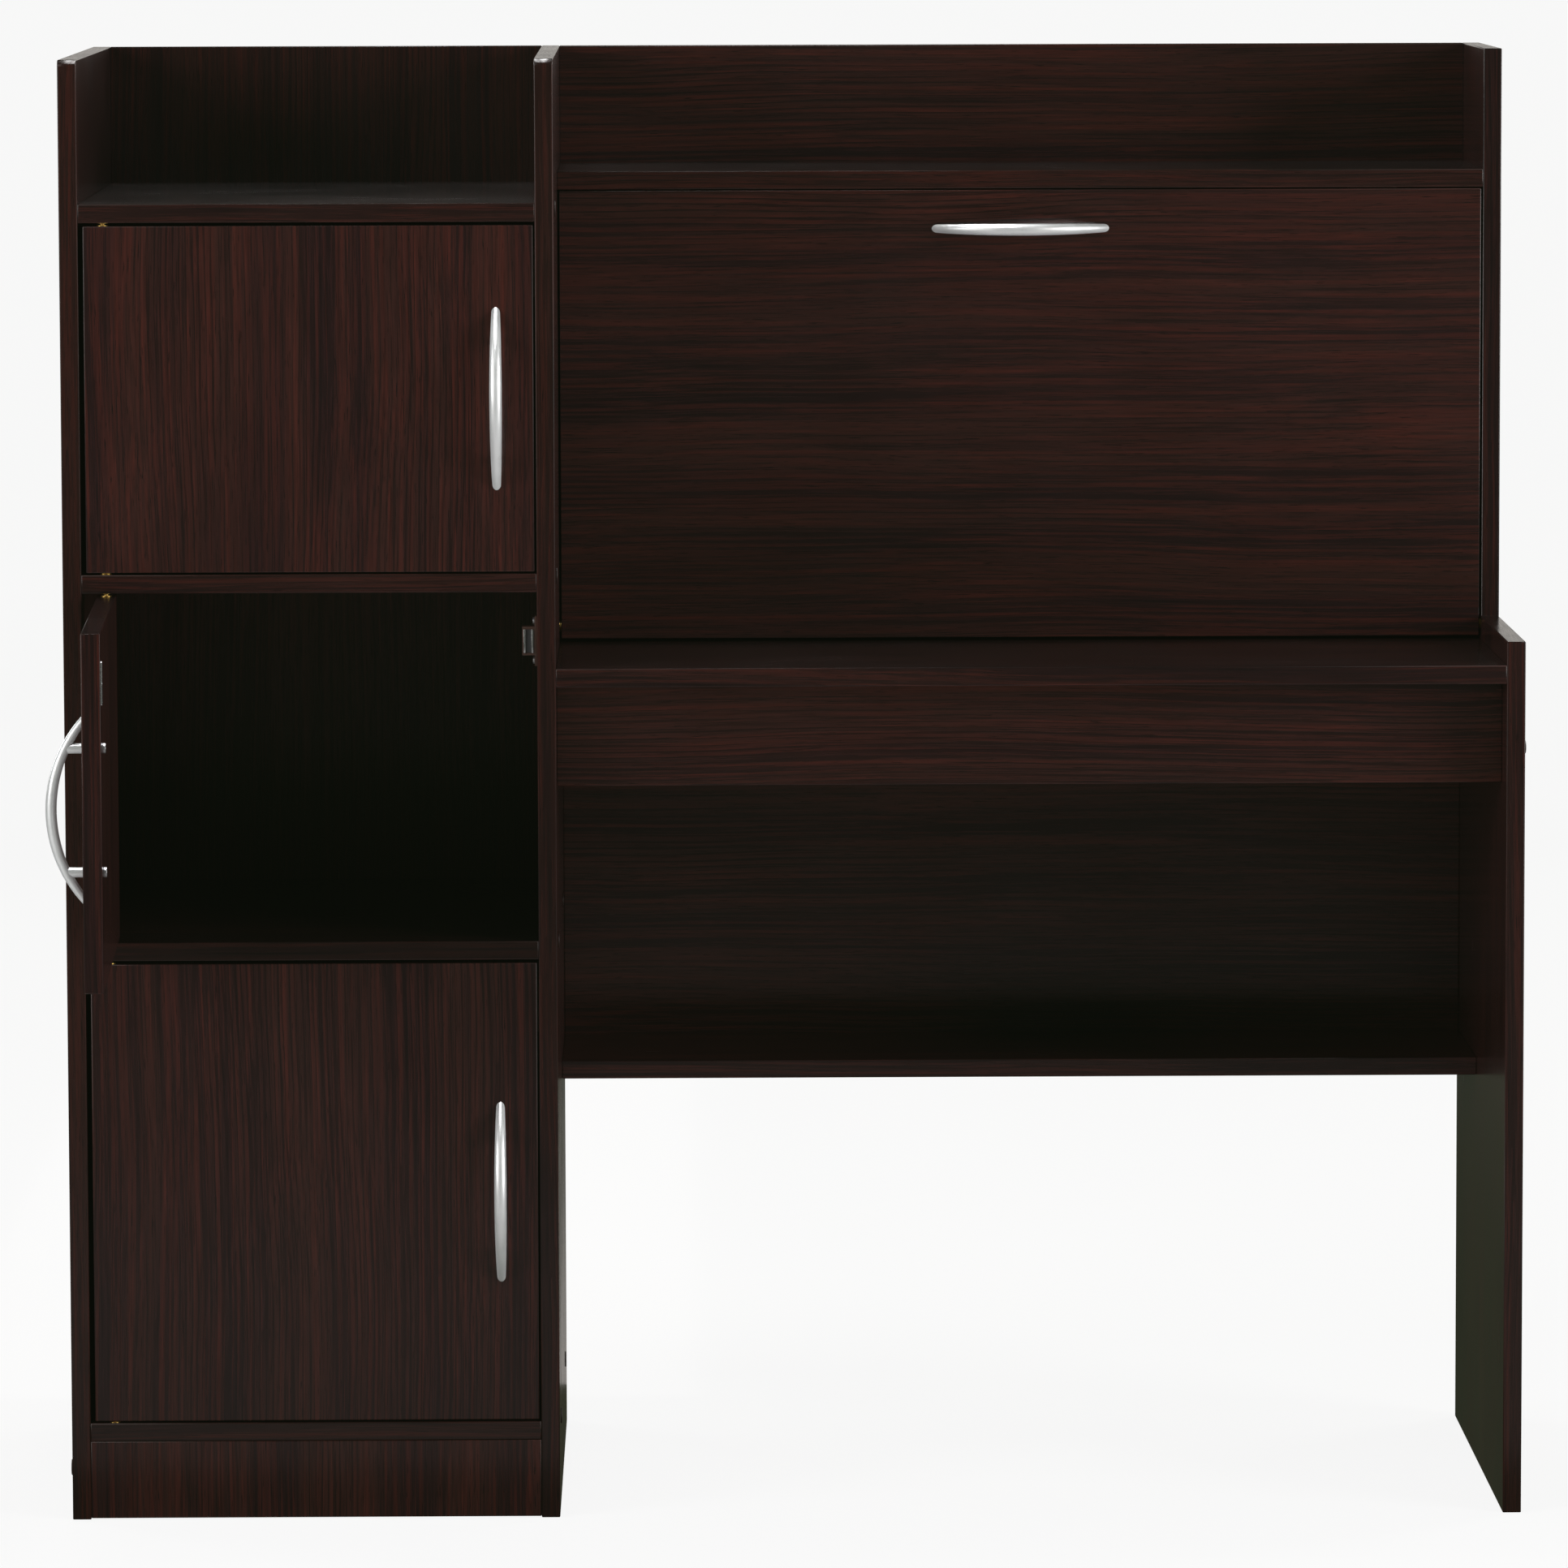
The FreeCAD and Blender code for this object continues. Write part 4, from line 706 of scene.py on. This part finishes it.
def add_sweep():
    """A pale round floor that curves up into a wall all round. It throws no light back at the desk."""
    floor_radius = FLOOR_RINGS[-1]
    profile = [(radius, 0.0) for radius in FLOOR_RINGS]
    for step in range(1, SWEEP_STEPS + 1):
        angle = math.pi / 2 * step / SWEEP_STEPS
        profile.append((floor_radius + SWEEP_CURVE * math.sin(angle), SWEEP_CURVE * (1 - math.cos(angle))))
    profile.append((floor_radius + SWEEP_CURVE, SWEEP_TOP))
    points = [(0.0, 0.0, 0.0)]
    for radius, height in profile:
        for side in range(SWEEP_SIDES):
            turn = 2 * math.pi * side / SWEEP_SIDES
            points.append((radius * math.cos(turn), radius * math.sin(turn), height))
    faces = [(0, 1 + side, 1 + (side + 1) % SWEEP_SIDES) for side in range(SWEEP_SIDES)]
    for row in range(len(profile) - 1):
        inner = 1 + row * SWEEP_SIDES
        outer = inner + SWEEP_SIDES
        for side in range(SWEEP_SIDES):
            after = (side + 1) % SWEEP_SIDES
            faces.append((inner + side, outer + side, outer + after, inner + after))
    sweep = add_mesh("studio_sweep", points, faces)
    for face in sweep.data.polygons:
        face.use_smooth = True
    sweep.data.materials.append(studio_paper())
    sweep.visible_diffuse = False
    sweep.visible_glossy = False


def studio_paper():
    """Grey paper with a glow of its own, so that it shows as an even near-white."""
    material, tree, surface = new_material("studio_paper", Roughness=0.9)
    surface.inputs["Emission Color"].default_value = (1.0, 1.0, 1.0, 1.0)
    far = add(tree, "ShaderNodeVectorMath", {0: object_place(tree)}, operation="LENGTH").outputs["Value"]
    tree.links.new(remap(tree, far, *PAPER_GLOW_SPAN), surface.inputs["Emission Strength"])
    cloud = even_noise(tree, PAPER_RATE, detail=2.0).outputs["Fac"]
    tree.links.new(mix_colours(tree, cloud, PAPER_DARK, PAPER_PALE), surface.inputs["Base Color"])
    return material


def add_softbox(name, place, target, size, power):
    light = bpy.data.lights.new(name, "AREA")
    light.shape = "RECTANGLE"
    light.size, light.size_y = size
    light.energy = power
    box = bpy.data.objects.new(name, light)
    box.location = place
    box.rotation_euler = (Vector(target) - Vector(place)).to_track_quat("-Z", "Y").to_euler()
    box.visible_camera = False
    scene.collection.objects.link(box)
    return box


def add_glow_card(name, corners, strength):
    """A pale sheet of studio paper that only reflections see: it greys the tops and sides seen edge on."""
    card = add_mesh(name, corners, [(0, 1, 2, 3)])
    material, tree, surface = new_material(f"{name}_paper", Base_Color=(0, 0, 0, 1), Specular_IOR_Level=0.0,
                                           Emission_Strength=strength)
    cloud = even_noise(tree, CARD_RATE, detail=2.0).outputs["Fac"]
    tree.links.new(mix_colours(tree, cloud, CARD_DARK, CARD_PALE), surface.inputs["Emission Color"])
    card.data.materials.append(material)
    card.visible_camera = False
    card.visible_diffuse = False
    card.visible_shadow = False


def add_lights():
    for name, (place, size, power) in SOFTBOXES.items():
        add_softbox(name, place, DESK_MIDDLE, size, power)
    for node, power in STRIP_POWERS.items():
        low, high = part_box(node)
        across = (low.x + high.x) / 2 * STRIP_OUTWARD
        above = (across, (low.y + high.y) / 2 - STRIP_FORWARD, high.z + STRIP_HEIGHT)
        strip = add_softbox(f"strip_{node}", above, (above[0], above[1], 0.0), STRIP_SIZE, power)
        strip.visible_diffuse = False
    overhead = add_softbox("overhead", OVERHEAD_PLACE, OVERHEAD_TARGET, OVERHEAD_SIZE, OVERHEAD_POWER)
    overhead.visible_diffuse = False
    bounce = add_softbox("floor_bounce", BOUNCE_PLACE, BOUNCE_TARGET, BOUNCE_SIZE, BOUNCE_POWER)
    bounce.visible_glossy = False


def add_glow_cards():
    for name, ((x1, y1, z1), (x2, y2, z2), strength) in UPRIGHT_CARDS.items():
        add_glow_card(name, [(x1, y1, z1), (x2, y2, z1), (x2, y2, z2), (x1, y1, z2)], strength)
    for name, ((x1, y1, z1), (x2, y2, z2), strength) in FLOOR_CARDS.items():
        add_glow_card(name, [(x1, y1, z1), (x2, y1, z1), (x2, y2, z2), (x1, y2, z2)], strength)


def add_room_light():
    world = bpy.data.worlds.new("studio_world")
    world.use_nodes = True
    background = world.node_tree.nodes["Background"]
    background.inputs["Color"].default_value = ROOM_COLOUR
    background.inputs["Strength"].default_value = ROOM_STRENGTH
    scene.world = world


def set_tones():
    """The plain transform, with the shadows lifted a little, as a camera's own glare lifts them."""
    scene.view_settings.view_transform = "Standard"
    scene.view_settings.use_curve_mapping = True
    scene.view_settings.curve_mapping.black_level = BLACK_LEVEL


def add_camera():
    data = bpy.data.cameras.new("camera")
    data.lens = CAMERA_LENS
    data.sensor_width = CAMERA_SENSOR
    data.clip_end = CAMERA_REACH
    camera = bpy.data.objects.new("camera", data)
    turn = Matrix.Rotation(-CAMERA_TURN, 4, "Z")
    tilt = Matrix.Rotation(math.pi / 2 - CAMERA_DROP, 4, "X")
    roll = Matrix.Rotation(-CAMERA_ROLL, 4, "Z")
    camera.matrix_world = Matrix.Translation(CAMERA_PLACE) @ turn @ tilt @ roll
    scene.collection.objects.link(camera)
    scene.camera = camera


dress_boards()
dress_hardware()
add_sweep()
add_lights()
add_glow_cards()
add_room_light()
set_tones()
add_camera()
